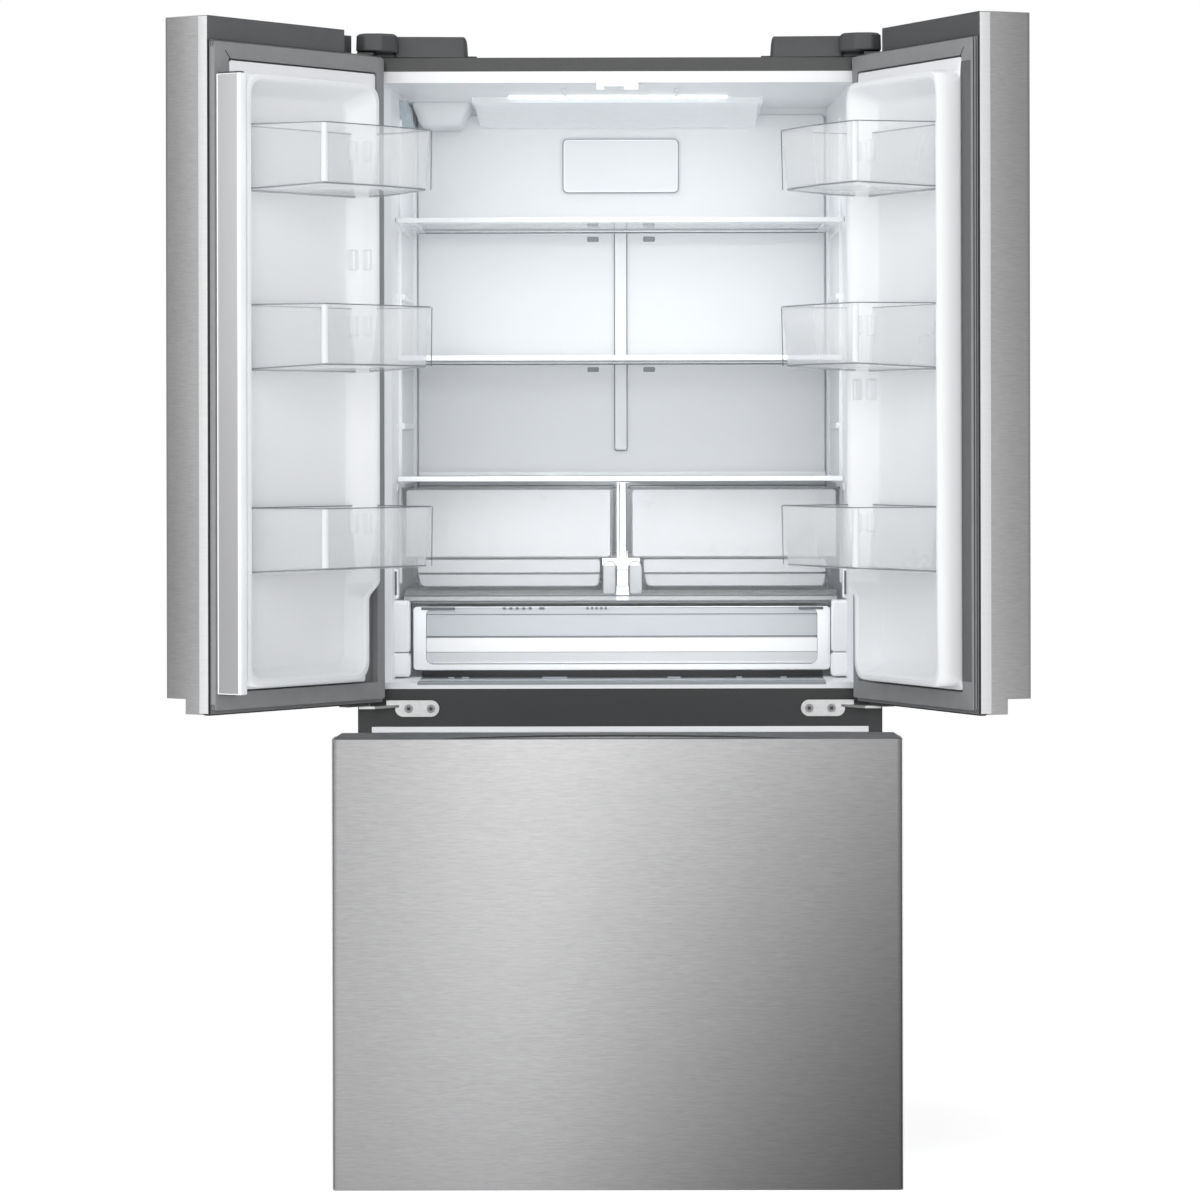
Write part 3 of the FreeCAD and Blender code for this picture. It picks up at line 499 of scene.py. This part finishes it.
def door_gasket(side, place, body, pre):
    """Gasket, painted shade in its folds, the joint beside it, and its side strip of painted light on
    the left door and darker face strip on the right door.
    """
    outer = upright(-409, -5.5, 733, 1746, 4)
    gasket_ring(place, outer, upright(-390, -38, 760, 1721, 3)).done(
        pre + "gasket_ring", body, gasket_rubber, (pre + "gasket",), "rubber", sharp=50)
    # dark rings in the folds and a dark strip at the top corner: painted shade
    f = Form(place)
    for y0, y1 in ((-11.3, -9.3), (-6.9, -4.9)):
        f.ring(inset(outer, 1.3), inset(outer, 3.4), y0, y1, "y")
    f.slab([(-44.0, 1720.0), (-41.0, 1720.5), (-29.0, 1733.5), (-31.0, 1733.5)], -13.6, -1.7, "y")
    f.done(pre + "gasket_fold_painted_shade", body, gasket_fold_shade, slot="rubber")
    # dark joint between the frame and the steel, and the lip under the door
    f = Form(place)
    f.bar(-5.6, -2.2, -14.8, -12.5, 727.5, 1749.0, 0.5)
    f.slab(rect(-416.0, -3.5, -24.0, -13.4, 1.0, 3), 724.9, 726.7, "z", 0.3)
    f.done(pre + "joint_lines", body, dark_joint_and_painted_shadow, slot="dark_plastic")
    f = Form(place)
    if side == "left":
        # lighter strip on the gasket's side, painted light against the shade the flap casts
        f.bar(-8.6, -4.9, -12.4, -3.0, 742.0, 1738.0, 0.5)
        f.done(pre + "gasket_side_painted_light", body, gasket_painted_light, slot="rubber")
    else:
        f.bar(-37.5, -8.5, -2.4, -1.3, 776.0, 1712.0, 0.5)
        f.done(pre + "gasket_strip", body, gasket_face, slot="rubber")


def door_fittings(side, place, body, pre):
    """Stop block under the hinge corner, folded edge of the skin with a painted highlight, and bosses
    for the bins.
    """
    Form(place).slab(rect(-396, -344, -45, -23, 4), 720.6, 725.8, "z", 0.8).done(
        pre + "stop_block", body, cap_plastic, slot="dark_plastic")
    # folded edge in the painted-highlight material
    fold = fillet([(-2.6, -32.0), (-1.9, -32.0), (-1.9, -14.5), (-2.6, -14.5)], 0.3, 2)
    Form(place).slab(fold, 728.0, 1784.5).done(pre + "edge_fold_highlight", body, painted_edge_highlight, slot="stainless")
    f = Form(place)
    for z in (1577.0, 1304.0, 996.0, SPARE_BOSS[side]):
        for x, y in ((-316.0, 12.0), (-331.0, 30.0)):
            f.slab(rect(y - 7.0, y + 7.0, z, z + 32, 3.0), x - 12.0, x + 8.0, "x", 2.0)
    f.done(pre + "bin_bosses", body, white, slot="white_plastic")


def bin_outline(grow, flare):
    """Plan of a door bin: straight back, slanted sides, rounded front corners."""
    g = grow
    return fillet([(-43 + g, 8 - g), (-38 + g, 40.0), (-59 + g, 168 + g), (-190, 173 + g + flare * 0.3),
                   (-318 - flare, 163 + g + flare), (-345 - g, 66.0), (-330 - g, 8 - g)],
                  [6 + g, 20, 15 + g, 60, 18 + g, 30, 6 + g])


def door_bin(place, body, name, z, replaces):
    top, low = bin_outline(0, 4), bin_outline(-4.5, 0)
    rim = z + BIN_HIGH

    def sole(outline, lift=0.0):
        """Loop at the bin's sole, which drops toward the back."""
        return [(u, v, z + lift - 8.0 * (1 - min(v, 170) / 170)) for u, v in outline]

    def level(outline, h):
        return [(u, v, h) for u, v in outline]

    f = Form(place)
    f.loft([sole(inset(low, 3)), sole(low, 3), level(top, rim), level(inset(top, BIN_WALL), rim),
            sole(inset(low, BIN_WALL), 5), sole(inset(low, 5), 3.4)])
    f.done(name, body, clear, replaces, "clear_plastic", sharp=60)
    # rim and foot read darker, where the wall is seen through its own edge
    f = Form(place)
    f.ring(inset(top, -0.8), inset(top, BIN_WALL + 0.4), rim - 0.8, rim + 0.8)
    out, inn = inset(low, -0.4), inset(low, BIN_WALL + 0.2)
    f.loft([sole(out, 1.2), sole(out, 3.2), sole(inn, 3.2), sole(inn, 1.2)], False, False)
    f.done(name + "_edges", body, clear_edge, slot="clear_plastic")
    # pale rounded front corner at the free side
    f = Form(place).slab(rect(-69.5, -59.5, 159.5, 169.5, 4.5, 4), z + 3.8, rim - 1.0, "z", 0.3)
    f.done(name + "_corner", body, clear_rib, slot="clear_plastic")
    # thin uprights where a side wall is seen end on
    f = Form(place)
    for foot, head in (((-42.6, 37.0), (-38.2, 40.0)), ((-325.0, 160.0), (-322.5, 163.6))):
        f.stack([(rect(u - 0.7, u + 0.7, v - 0.7, v + 0.7, 0.4, 2), h)
                 for (u, v), h in ((foot, z + 1.5), (head, rim - 0.5))])
    f.done(name + "_ends", body, clear_edge, slot="clear_plastic")


def door(side):
    place, body, pre = swung(side), side + "_door", side + "_door_"
    door_liner(place, body, pre)
    door_gasket(side, place, body, pre)
    door_fittings(side, place, body, pre)
    for k, z in enumerate(BIN_SOLES):
        door_bin(place, body, f"{pre}bin_{k + 1}", z, () if k else (pre + "bins",))


def flap():
    """Folding flap on the left door: white body, grey face with painted shade towards the bottom, dark
    end caps.
    """
    place = swung("left")
    plan = fillet([(-19, 1.2), (-6.2, 1.2), (-3.4, 3.6), (-3.4, 49.8), (-19, 49.8)], [2, 1, 1, 2, 2], 4)
    Form(place).slab(plan, 758.2, 1695.8, "z", 0.8).done(
        "flap_body", "flap", bright, ("mullion_flap",), "grey_plastic")
    Form(place).slab(rect(-4.6, -2.95, 6.2, 44.6, 0.6, 3), 759.5, 1694.5, "z", 0.5).done(
        "flap_face_painted_shade", "flap", flap_face_painted_shade, slot="grey_plastic")
    f = Form(place)
    f.slab(rect(-18.2, -4.8, 3.5, 47.5, 3, 4), 1695.9, 1698.4, "z", 0.8)
    f.slab(rect(-18.2, -4.8, 3.5, 30.0, 3, 4), 755.8, 758.1, "z", 0.8)
    f.done("flap_ends", "flap", cap_plastic, slot="grey_plastic")


for side in ("left", "right"):
    door(side)
flap()
SIDES = (("left", cabinet), ("right", flipped))

# ---- top hinge covers and hinge screws ----------------------------------------------------
HINGE_SCREWS_X, SCREW_Z = (-336.5, -301.0), 714.0
CABINET_TOP = 1750.4


def hinge_cover(side, place):
    arm = fillet([(-242, 0), (-242, 74), (-356, 74), (-356, -8)], [7, 10, 10, 4], 5)
    knuckle = fillet([(-350, 72), (-415.5, 72), (-415.5, -50), (-402, -61), (-374, -61), (-350, -46)],
                     [6, 8, 12, 12, 12, 10], 5)
    f = Form(place)
    f.stack([(arm, CABINET_TOP), (inset(arm, 1.5), 1774.0), (inset(arm, 2.6), 1781.5),
             (inset(arm, 5), 1783.4)])
    f.slab(rect(-243, -227, 22, 60, 3), CABINET_TOP, 1754.0, "z", 0.6)
    f.stack([(inset(knuckle, 1.0), 1757.0), (knuckle, 1758.4), (inset(knuckle, 0.7), 1780.6),
             (inset(knuckle, 4.6), 1783.8), (inset(knuckle, 8), 1784.6)])
    f.slab(rect(-413, -357, 4, 70, 5), CABINET_TOP, 1757.2, "z", 0.5)
    f.done("hinge_cover_shell_" + side, "cabinet", cover_plastic, ("hinge_cover_" + side,),
           "dark_plastic", sharp=28)


def screw_details(side, place):
    """Six-lobed drives in the middle hinge's screws, and the washers under the heads."""
    # the six-lobed drive hollows are near-black discs and lobes: painted shade
    f = Form(place)
    for x in HINGE_SCREWS_X:
        f.turn([(1.7, -0.2), (2.6, -0.2), (2.6, 0.5), (1.7, 0.5)], (x, -7.2, SCREW_Z), "y", 6)
        for i in range(6):
            a = math.radians(60 * i)
            lobe = x + 2.9 * math.cos(a), -6.8, SCREW_Z + 2.9 * math.sin(a)
            f.turn([(0.9, -0.25), (0.9, 0.5)], lobe, "y", 8)
        f.turn([(1.9, -0.3), (1.9, 0.6)], (x, -6.8, SCREW_Z), "y", 12)
    f.done("screw_drives_" + side, "cabinet", recess, slot="bare_steel")
    f = Form(place)
    for x in HINGE_SCREWS_X:
        f.turn([(7.8, 0), (7.8, 0.8), (6.9, 1.0)], (x, -4.0, SCREW_Z), "y", 24)
    f.done("screw_washers_" + side, "cabinet", zinc, slot="bare_steel")


for side, place in SIDES:
    hinge_cover(side, place)
    screw_details(side, place)

# ---- inside of the fresh-food compartment -------------------------------------------------
SHELF_TOPS = (1504.0, 1279.0, 1082.0)
LEDGE_TOPS = (1504.0, 1392.0, 1279.0, 1180.0, 1082.0)
CEILING = 1709.6


def side_wall(side, place):
    """Uprights and ledges that carry the shelves, and the wall's fine lines."""
    f = Form(place)
    for y0, y1 in ((214.0, 236.0), (520.0, 545.0)):
        lean = 14 * (y0 - 78) / 512
        f.slab(rect(y0, y1, 905, 1668, 5), -374.5 + lean, -362.0 + lean, "x", 2.0)
    for top in LEDGE_TOPS:
        f.slab(rect(224.0, 520.0, top - 22, top - 10.5, 4), -372.0, -353.5, "x", 2.5)
        f.slab(rect(176.0, 240.0, top - 26, top - 10.0, 6), -374.0, -362.5, "x", 2.5)
    f.done("shelf_ladder_" + side, "cabinet", white_soft, slot="white_plastic")
    f = Form(place)
    for z0, z1 in ((1507, 1540), (1427, 1469), (1361, 1396), (1255, 1290), (1150, 1235), (950, 1060)):
        f.bar(-368.8, -367.6, 199, 201, z0, z1, 0.4)
    for x0, x1, z0, z1 in ((-370.5, -369.3, 1496, 1503), (-365.2, -364, 1496, 1503),
                           (-370.5, -364, 1495, 1496.4)):
        f.bar(x0, x1, 148, 150, z0, z1, 0.4)
    f.done("wall_lines_" + side, "cabinet", line_grey, slot="white_plastic")


def back_wall():
    """Air strip with its outline and vents, and the plain plate with its shadow and rim."""
    Form().slab(rect(-12.6, 8.6, 1123, 1516, 3), 582.6, 590.0, "y", 1.0).done(
        "air_strip", "cabinet", white, ("air_duct",), "white_plastic")
    seam, strip = rect(-13.2, 9.0, 1122.4, 1517, 3.4), rect(-12.4, 8.2, 1123.2, 1516, 2.8)
    Form().ring(seam, strip, 582.0, 586.0, "y").done(
        "back_seams", "cabinet", line_dark, slot="white_plastic")
    around, plate = rect(-101.2, 98.0, 1564.8, 1657.6, 8.4), rect(-100.0, 96.8, 1566.0, 1656.4, 7.4)
    f = Form().ring(around, plate, 580.4, 588.0, "y")
    for x in (-352.3, 349.8):
        f.bar(x - 0.4, x + 0.4, 585.0, 587.0, 905, 1698, 0.3)
    f.done("duct_plate_shadow", "cabinet", vent_grey, slot="white_plastic")
    Form().slab(rect(-100.2, 97.0, 1565.6, 1656.8, 8), 581.4, 590.0, "y", 0.8).done(
        "duct_plate", "cabinet", white_soft, slot="white_plastic")
    rim, middle = rect(-99.6, 96.4, 1566.2, 1656.2, 7.6), rect(-97.0, 93.8, 1568.8, 1653.6, 6.0)
    Form().ring(rim, middle, 579.6, 583.0, "y").done(
        "duct_plate_rim", "cabinet", bright, slot="white_plastic")
    f = Form()
    for x0, x1 in ((-59.5, -39.5), (36.5, 57.0)):
        for z0, z1 in ((1506.8, 1515.2), (1481, 1490), (1257.5, 1266)):
            f.slab(rect(x0, x1, z0, z1, 2.4), 585.4, 590, "y", 0.8)
    f.done("air_vents", "cabinet", vent_grey, slot="white_plastic")


def ceiling():
    """Lamp with its tapering lens, bright line and clips, and the mouldings in the left corner."""
    tip = rect(-246, 232, 309, 580, 12)
    f = Form()
    f.loft([[(u, v, CEILING) for u, v in rect(-247, 237, 304, 586, 8)],
            [(u, v, 1700) for u, v in rect(-246, 236, 306, 585, 10)],
            [(-246 + (u + 246) * 0.985 + 4, v, 1700 - (v - 306) * 0.085) for u, v in tip]])
    f.done("lamp_lens_body", "cabinet", lamp_lens, ("lamp_housing",), "white_plastic", sharp=50)
    Form().slab(rect(-185, 178, 296, 299.5, 1.2, 4), 1707.2, 1709.4, "z", 0.6).done(
        "lamp_light_line", "cabinet", lamp_glow, ("lamp_strip",), "lamp_lens")
    Form().bar(-36, 31, 4, 38, 1704.4, 1709.9, 2.0).done(
        "flap_guide_bar", "cabinet", bright, slot="white_plastic")
    f = Form()
    for x in (-90.6, 92.5):
        f.slab(rect(x - 2, x + 2, 190, 240, 1), 1704.0, 1709.8, "z", 0.8)
        f.slab(rect(x - 3, x + 3, 120, 132, 1), 1704.0, 1709.8, "z", 0.8)
    f.done("lamp_clips", "cabinet", bright, slot="white_plastic")
    f = Form()
    f.stack([(rect(-352, -256, 420, 588, 10), CEILING), (rect(-350, -258, 422, 588, 14), 1700),
             (rect(-340, -270, 430, 588, 20), 1676), (rect(-334, -277, 438, 588, 16), 1671)])
    f.done("control_pod", "cabinet", white_soft, ("control_housing",), "white_plastic", sharp=60)
    f = Form()
    f.stack([(rect(-380, -352, 236, 300, 12), 1700), (rect(-380, -344, 240, 300, 12), 1688),
             (rect(-377, -342, 250, 296, 10), 1664), (rect(-372, -338, 256, 290, 7), 1656)])
    f.done("light_cup_left", "cabinet", cup_blue, slot="clear_plastic", sharp=60)


def shelf_seals():
    f = Form()
    for top in SHELF_TOPS:
        f.bar(-346, 346, 556.0, 561.0, top - 9.5, top - 7.0, 0.8)
    f.done("shelf_rear_seals", "cabinet", line_grey, slot="white_plastic")


Form().slab(rect(-351, 349.5, 880, 1700, 9), 586.5, 592.0, "y", 2.0).done(
    "back_wall_panel", "cabinet", white_soft, slot="white_plastic")
for side, place in SIDES:
    side_wall(side, place)
back_wall()
ceiling()
shelf_seals()

# ---- crispers -----------------------------------------------------------------------------
TUB_WALL = 2.4
CRISPER_RIM, CRISPER_STEP = 1063, 949.5


def crisper(name, x0, x1):
    """Clear tub, narrower in its lower part, with its edges and hazy front panes."""
    body = "crisper_" + name
    wide, low = rect(x0 + 1, x1 - 1, 178, 552, 8), rect(x0 + 5, x1 - 3, 181, 548, 8)
    mid, base = rect(x0 + 24, x1 - 22, 183, 545, 14), rect(x0 + 30, x1 - 24, 188, 540, 14)
    f = Form()
    f.stack([(base, 903), (mid, 921), (mid, 946.5), (low, CRISPER_STEP), (wide, CRISPER_RIM),
             (inset(wide, TUB_WALL), CRISPER_RIM), (inset(low, TUB_WALL), CRISPER_STEP + 2),
             (inset(mid, TUB_WALL), 948), (inset(base, TUB_WALL), 905.5)])
    f.done("crisper_tub_" + name, body, thin, (body,), "clear_plastic", sharp=30)
    f = Form()
    f.ring(inset(wide, -0.6), inset(wide, TUB_WALL), 1061.6, 1063.6)
    f.ring(inset(base, -0.4), inset(base, 1.6), 902.0, 903.4)
    face = fillet([(x0 + 3, 1061), (x1 - 2, 1061), (x1 - 6, 949), (x0 + 7, 949)], 3, 4)
    f.ring(face, inset(face, 1.1), 176.8, 178.0, "y")
    bowl = fillet([(x0 + 26, 923), (x1 - 24, 923), (x1 - 27, 902), (x0 + 31, 902)], [1, 1, 9, 9], 5)
    f.ring(bowl, inset(bowl, 1.1), 179.6, 180.8, "y")
    f.done("crisper_edges_" + name, body, clear_edge, slot="clear_plastic")
    f = Form()
    f.slab(rect(x0 + 8, x1 - 8, 951, 1060, 5), 177.0, 178.2, "y", 0.4)
    f.slab(inset(bowl, 1.2), 180.0, 181.0, "y", 0.3)
    f.slab(rect(x0 + 26, x1 - 25, 925, 946, 3), 179.0, 180.0, "y", 0.3)
    f.slab(rect(x0 + 60, x1 - 100, 960, 1040, 6), 540.0, 541.0, "y", 0.4)
    f.done("crisper_front_" + name, body, veil, slot="clear_plastic")


def crisper_bracket():
    """Post between the crispers, its clear ears, and the dark lines round both."""
    f = Form()
    f.slab(rect(-1.0, 8.6, 880, 1072, 1.5), 173.5, 200.0, "y", 1.0)
    f.slab(rect(-8.5, 15.5, 1071, 1076, 2), 172.5, 190.0, "y", 1.0)
    f.slab(fillet([(-8, 878), (14, 878), (11, 962), (-4, 962)], [2, 2, 4, 4], 4), 174.2, 186.0, "y", 1.2)
    f.done("crisper_bracket", "cabinet", bright, slot="white_plastic")
    ears, lines = Form(), Form()
    for x0, x1, right_r, left_r in ((-29, -8, 8, 11), (14, 35, 11, 8)):
        ear = fillet([(x0, 890), (x1, 890), (x1, 944), (x0, 944)], [5, 5, right_r, left_r], 5)
        ears.slab(ear, 174.5, 184.0, "y", 1.0)
        lines.ring(ear, inset(ear, 0.9), 173.6, 175.0, "y")
    lines.ring(rect(-7, 13, 902, 930, 4), rect(-6.2, 12.2, 902.8, 929.2, 3.4), 172.8, 174.4, "y")
    ears.done("crisper_bracket_ears", "cabinet", veil, slot="white_plastic")
    lines.done("crisper_bracket_lines", "cabinet", line_dark, slot="white_plastic")
    f = Form()
    for x in (-2.0, 8.6):
        f.bar(x, x + 1.0, 172.4, 174.0, 950, 1070, 0.4)
    f.bar(-9, 16, 171.8, 173.4, 1072.6, 1074.0, 0.4)
    f.done("crisper_post_seams", "cabinet", line_dark, slot="white_plastic")


crisper("left", -357.0, -9.0)
crisper("right", 11.5, 359.0)
crisper_bracket()

# ---- wide drawer under the crispers, its cover, and the floor before it -------------------
PANTRY_BACK = 180.0
LATCH_Z0, LATCH_Z1 = 864.6, 868.6


def pantry_cover():
    f = Form()
    for z0, z1 in ((886.6, 888.0), (877.2, 879.0)):
        f.bar(-349, 349, 172.0, 174.0, z0, z1, 0.5)
    for x0, x1 in ((-349, -200), (190, 349)):
        f.bar(x0, x1, 174.0, 176.0, 892.0, 893.2, 0.5)
    f.done("pantry_cover_edge", "cabinet", line_dark, slot="white_plastic")
    Form().slab(rect(-353, 353, 879.4, 886.2, 1.5), 172.5, PANTRY_BACK, "y", 0.6).done(
        "pantry_cover_face", "cabinet", veil, slot="white_plastic")


def pantry_piece(form, name, mat, replaces=()):
    form.done("pantry_" + name, "pantry_drawer", mat, replaces, "clear_plastic")


def pantry_drawer():
    """White front frame, clear tub, three window bands of different haze, and the fine lines."""
    outer, opening = rect(-338, 341, 766.5, 869.5, 6), rect(-317.5, 320.5, 775.5, 868.0, 12)
    f = Form().ring(outer, opening, 176.5, 184.0, "y")
    pantry_piece(f, "front_frame", bright, ("pantry_drawer",))
    rim, sole = rect(-330, 330, 185, 530, 8), rect(-318, 318, 190, 520, 10)
    f = Form()
    f.stack([(sole, 769), (rim, 862), (inset(rim, TUB_WALL), 862), (inset(sole, TUB_WALL), 769 + 2.6)])
    pantry_piece(f, "tub_clear", thin)
    pantry_piece(Form().slab(rect(-317, 320, 819, 867.5, 3), 178.4, PANTRY_BACK, "y", 0.3),
                 "window_upper", pane_grey)
    f = Form()
    f.slab(rect(-317, 320, 795.5, 818.5, 2), 177.8, PANTRY_BACK, "y", 0.3)
    f.bar(-306, 310, 176.0, 178.0, 776.8, 779.0, 0.8)
    pantry_piece(f, "bright_band", pane_bright)
    lower = fillet([(-317, 795), (320, 795), (320, 776), (-317, 776)], [1, 1, 11, 11], 5)
    pantry_piece(Form().slab(lower, 178.4, PANTRY_BACK, "y", 0.3), "window_lower", pane_low)
    f = Form()
    f.bar(-317, 320, 176.8, 178.2, 820.4, 821.6, 0.4)
    f.bar(-317, 320, 177.2, 178.6, 856.6, 857.4, 0.3)
    for x0, x1 in ((-325, -270), (290, 330)):
        f.bar(x0, x1, 175.2, 176.4, 864.2, LATCH_Z1, 0.4)
    for x0, x1 in ((-339.6, -338.4), (341.4, 342.6)):
        f.bar(x0, x1, 174.6, 177.0, 768, 876, 0.4)
    for i in range(5):
        f.bar(-192 + 10.5 * i, -187 + 10.5 * i, 176.2, 177.4, LATCH_Z0, LATCH_Z1, 0.4)
        f.bar(-56 + 7.5 * i, -52.5 + 7.5 * i, 176.2, 177.4, LATCH_Z0, LATCH_Z1, 0.4)
    f.bar(-133, -124, 176.2, 177.4, LATCH_Z0, LATCH_Z1, 0.4)
    pantry_piece(f, "lines", line_dark)


def compartment_floor():
    """Painted shadow in the slot under the wide drawer, and the grey step before it."""
    # dark slabs in the shadowed gap under the drawer's front: painted shadow
    f = Form()
    f.bar(-323, 328, 160, 172, 755.3, 766.2, 1.0)
    f.bar(-323, 328, 96, 160.5, 755.2, 756.2, 0.4)
    f.done("floor_painted_shadow", "cabinet", dark_joint_and_painted_shadow, slot="white_plastic")
    f = Form()
    f.bar(-323, 328, 20, 95.8, 755.2, 756.2, 0.5)
    f.bar(-323, 328, -0.5, 0.6, 751.4, 755.6, 0.4)
    for x0, x1 in ((-278, -268), (-256, -244), (-126, -86), (76, 97), (187, 196), (258, 268)):
        f.bar(x0, x1, 94, 97, 756.0, 759.0, 0.5)
    f.done("floor_step", "cabinet", floor_grey, slot="white_plastic")


def pantry_side(side, place):
    """White blocks at the wall beside the wide drawer, and the dark slits in them."""
    block = fillet([(130, 797), (170, 797), (170, 881), (122, 881)], [4, 4, 5, 5], 5)
    foot = fillet([(128, 757), (166, 757), (166, 796), (128, 796)], [8, 14, 3, 3], 5)
    f = Form(place)
    f.slab(block, -380.0, -342, "x", 3.0)
    f.slab(foot, -374.0, -341, "x", 4.0)
    f.slab(rect(128, 172, 884, 932, 4), -376.0, -360.0, "x", 2.0)
    f.done("pantry_block_" + side, "cabinet", white, ("pantry_rails",) if side == "left" else (),
           "white_plastic")
    f = Form(place)
    f.slab(rect(-367.6, -362.2, 890, 929, 1.2), 126.0, 127.5, "y", 0.4)
    f.bar(-371.5, -370.6, 164, 166.5, 760, 793, 0.4)
    f.done("wall_slit_" + side, "cabinet", line_dark, slot="white_plastic")


pantry_cover()
pantry_drawer()
compartment_floor()
for side, place in SIDES:
    pantry_side(side, place)

# ---- freezer drawer -----------------------------------------------------------------------
CAP_X, CAP_FRONT, CAP_REAR, CAP_Z = 415.5, -100.5, -14.5, 703.7
GRIP_X, GRIP_FRONT = 258, -89.0


def freezer_top_cap():
    """Dark cap that rises toward the back, round the shallow grip."""
    steps = [-1 + 2 * i / 40 for i in range(41)]
    edge = [(CAP_X * t, CAP_FRONT) for t in steps] + [(CAP_X * t, CAP_REAR) for t in reversed(steps)]
    grip = [(GRIP_X * t, GRIP_FRONT) for t in steps]
    grip += [(GRIP_X * t, -41.0 - (GRIP_X * t) ** 2 / 1400) for t in reversed(steps)]
    rise = [(u * (1.0 if v < -60 else 0.982), v, 704.4 if v < -60 else 708.4) for u, v in edge]
    dish = [(u, v, 704.6 if v < -88 else 704.6 + 3.4 * (v - GRIP_FRONT) / 74.5) for u, v in grip]
    rim, seat = [(u, v, CAP_Z) for u, v in edge], [(u, v, CAP_Z) for u, v in grip]
    f = Form(pulled).loft([rim, rise, dish, seat], False, False)
    f.done("freezer_top_cap", "freezer_drawer", top_dark, slot="dark_plastic")


def freezer_front():
    """Painted highlights on the skin's folded edges, top cap, and the inner frame, liner and gasket
    behind them.
    """
    f = Form(pulled)
    for x0, x1 in ((-417.9, -416.4), (416.4, 417.9)):
        f.bar(x0, x1, -101.8, -99.6, 48, 701, 0.5)
    f.done("freezer_edge_highlights", "freezer_drawer", painted_edge_highlight, slot="stainless")
    freezer_top_cap()
    inner_frame(pulled, upright(-417, 417, 45.4, 703.6, 3), upright(-350, 350, 130, 662, 6), -13).done(
        "freezer_inner_frame", "freezer_drawer", frame_plastic, slot="white_plastic")
    # Y, inset and corner radius of the liner's rings
    rings = [(-13, 0, 6), (16, 3, 14), (23, 6, 18), (24.6, 10, 18), (24.6, 26, 16), (22, 30, 15),
             (4, 36, 14), (-6, 44, 14)]
    f = Form(pulled)
    f.stack([(upright(-352 + d, 352 - d, 128 + d, 664 - d, r), y) for y, d, r in rings], "y", False)
    f.done("freezer_liner_pan", "freezer_drawer", white, ("freezer_front_liner",), "white_plastic",
           sharp=60)
    gasket_ring(pulled, upright(-409, 409, 92, 698, 4), upright(-390, 390, 110, 680, 3)).done(
        "freezer_gasket_ring", "freezer_drawer", gasket_rubber, ("freezer_gasket",), "rubber",
        sharp=50)


freezer_front()

# ---- stage --------------------------------------------------------------------------------
pale_floor = material("pale_floor", (0.95, 0.95, 0.95), 0.6, vary=0.004, grain=even(2), bump=0.0,
                      glow=0.62)
floor_plan = [(-9000, -9000), (9000, -9000), (9000, 60000), (-9000, 60000)]
Form().slab(floor_plan, -6, -0.3).done("floor", None, pale_floor, stage=True)

scene = bpy.context.scene
scene.view_settings.view_transform = "Standard"
scene.view_settings.look = "None"


def world():
    """White behind everything, and soft light that is stronger from the front."""
    w = bpy.data.worlds.new("studio")
    scene.world = w
    w.use_nodes = True
    t = w.node_tree
    link = t.links.new
    soft = t.nodes["Background"]
    soft.inputs["Color"].default_value = (1, 1, 1, 1)
    toward = node(t, "ShaderNodeTexCoord")
    split = node(t, "ShaderNodeSeparateXYZ")
    fall = node(t, "ShaderNodeMapRange", interpolation_type="SMOOTHSTEP")
    for key, value in (("From Min", -0.98), ("From Max", -0.72), ("To Min", 0.95), ("To Max", 0.42)):
        fall.inputs[key].default_value = value
    link(toward.outputs["Generated"], split.inputs["Vector"])
    link(split.outputs["Y"], fall.inputs["Value"])
    link(fall.outputs["Result"], soft.inputs["Strength"])
    seen = node(t, "ShaderNodeBackground", Color=(1, 1, 1, 1), Strength=1.0)
    path = node(t, "ShaderNodeLightPath")
    mix = node(t, "ShaderNodeMixShader")
    link(path.outputs["Is Camera Ray"], mix.inputs["Fac"])
    link(soft.outputs["Background"], mix.inputs[1])
    link(seen.outputs["Background"], mix.inputs[2])
    link(mix.outputs["Shader"], t.nodes["World Output"].inputs["Surface"])


COOL = (0.985, 0.99, 1.0)


def light(name, at, aim, size, power, colour=(1, 1, 1), size_y=None, spread=180):
    d = bpy.data.lights.new(name, "AREA")
    d.energy, d.size, d.color, d.spread = power, size, colour, math.radians(spread)
    if size_y:
        d.shape, d.size_y = "RECTANGLE", size_y
    o = bpy.data.objects.new(name, d)
    scene.collection.objects.link(o)
    o.visible_camera = False
    o.location = cabinet(at)
    o.rotation_euler = (cabinet(aim) - o.location).to_track_quat("-Z", "Y").to_euler()


def camera():
    data = bpy.data.cameras.new("camera")
    data.sensor_width, data.lens, data.clip_end = 36.0, 139.0065, 200
    data.shift_x, data.shift_y = -0.0351833, -0.1359917
    o = bpy.data.objects.new("camera", data)
    scene.collection.objects.link(o)
    scene.camera = o
    o.location = cabinet((55.24, -7377.0, 1145.9))
    o.rotation_euler = (math.radians(90), 0.002, 0.0026)


world()
light("key_left", (-3200, -3600, 2600), (0, 0, 700), 2.4, 45)
light("front_soft", (100, -6500, 2700), (0, 0, 1000), 3.0, 92)
light("top_soft", (0, -300, 4200), (0, 100, 1700), 2.6, 30)
# small lights inside the compartment, in place of the lamp
light("inside_top", (0, 250, 1690), (0, 330, 900), 0.55, 0.74, COOL, 0.06)
light("inside_low", (0, 70, 1330), (0, 600, 1060), 0.55, 0.62, COOL, 0.2)
light("pantry_fill", (0, 34, 806), (0, 180, 800), 0.62, 0.16, COOL, 0.05)
light("drawer_fill", (0, 24, 985), (0, 420, 880), 0.64, 0.34, COOL, 0.1, 130)
light("crisper_top", (-40, 380, 1068), (-60, 385, 900), 0.6, 0.19, COOL, 0.26)
camera()
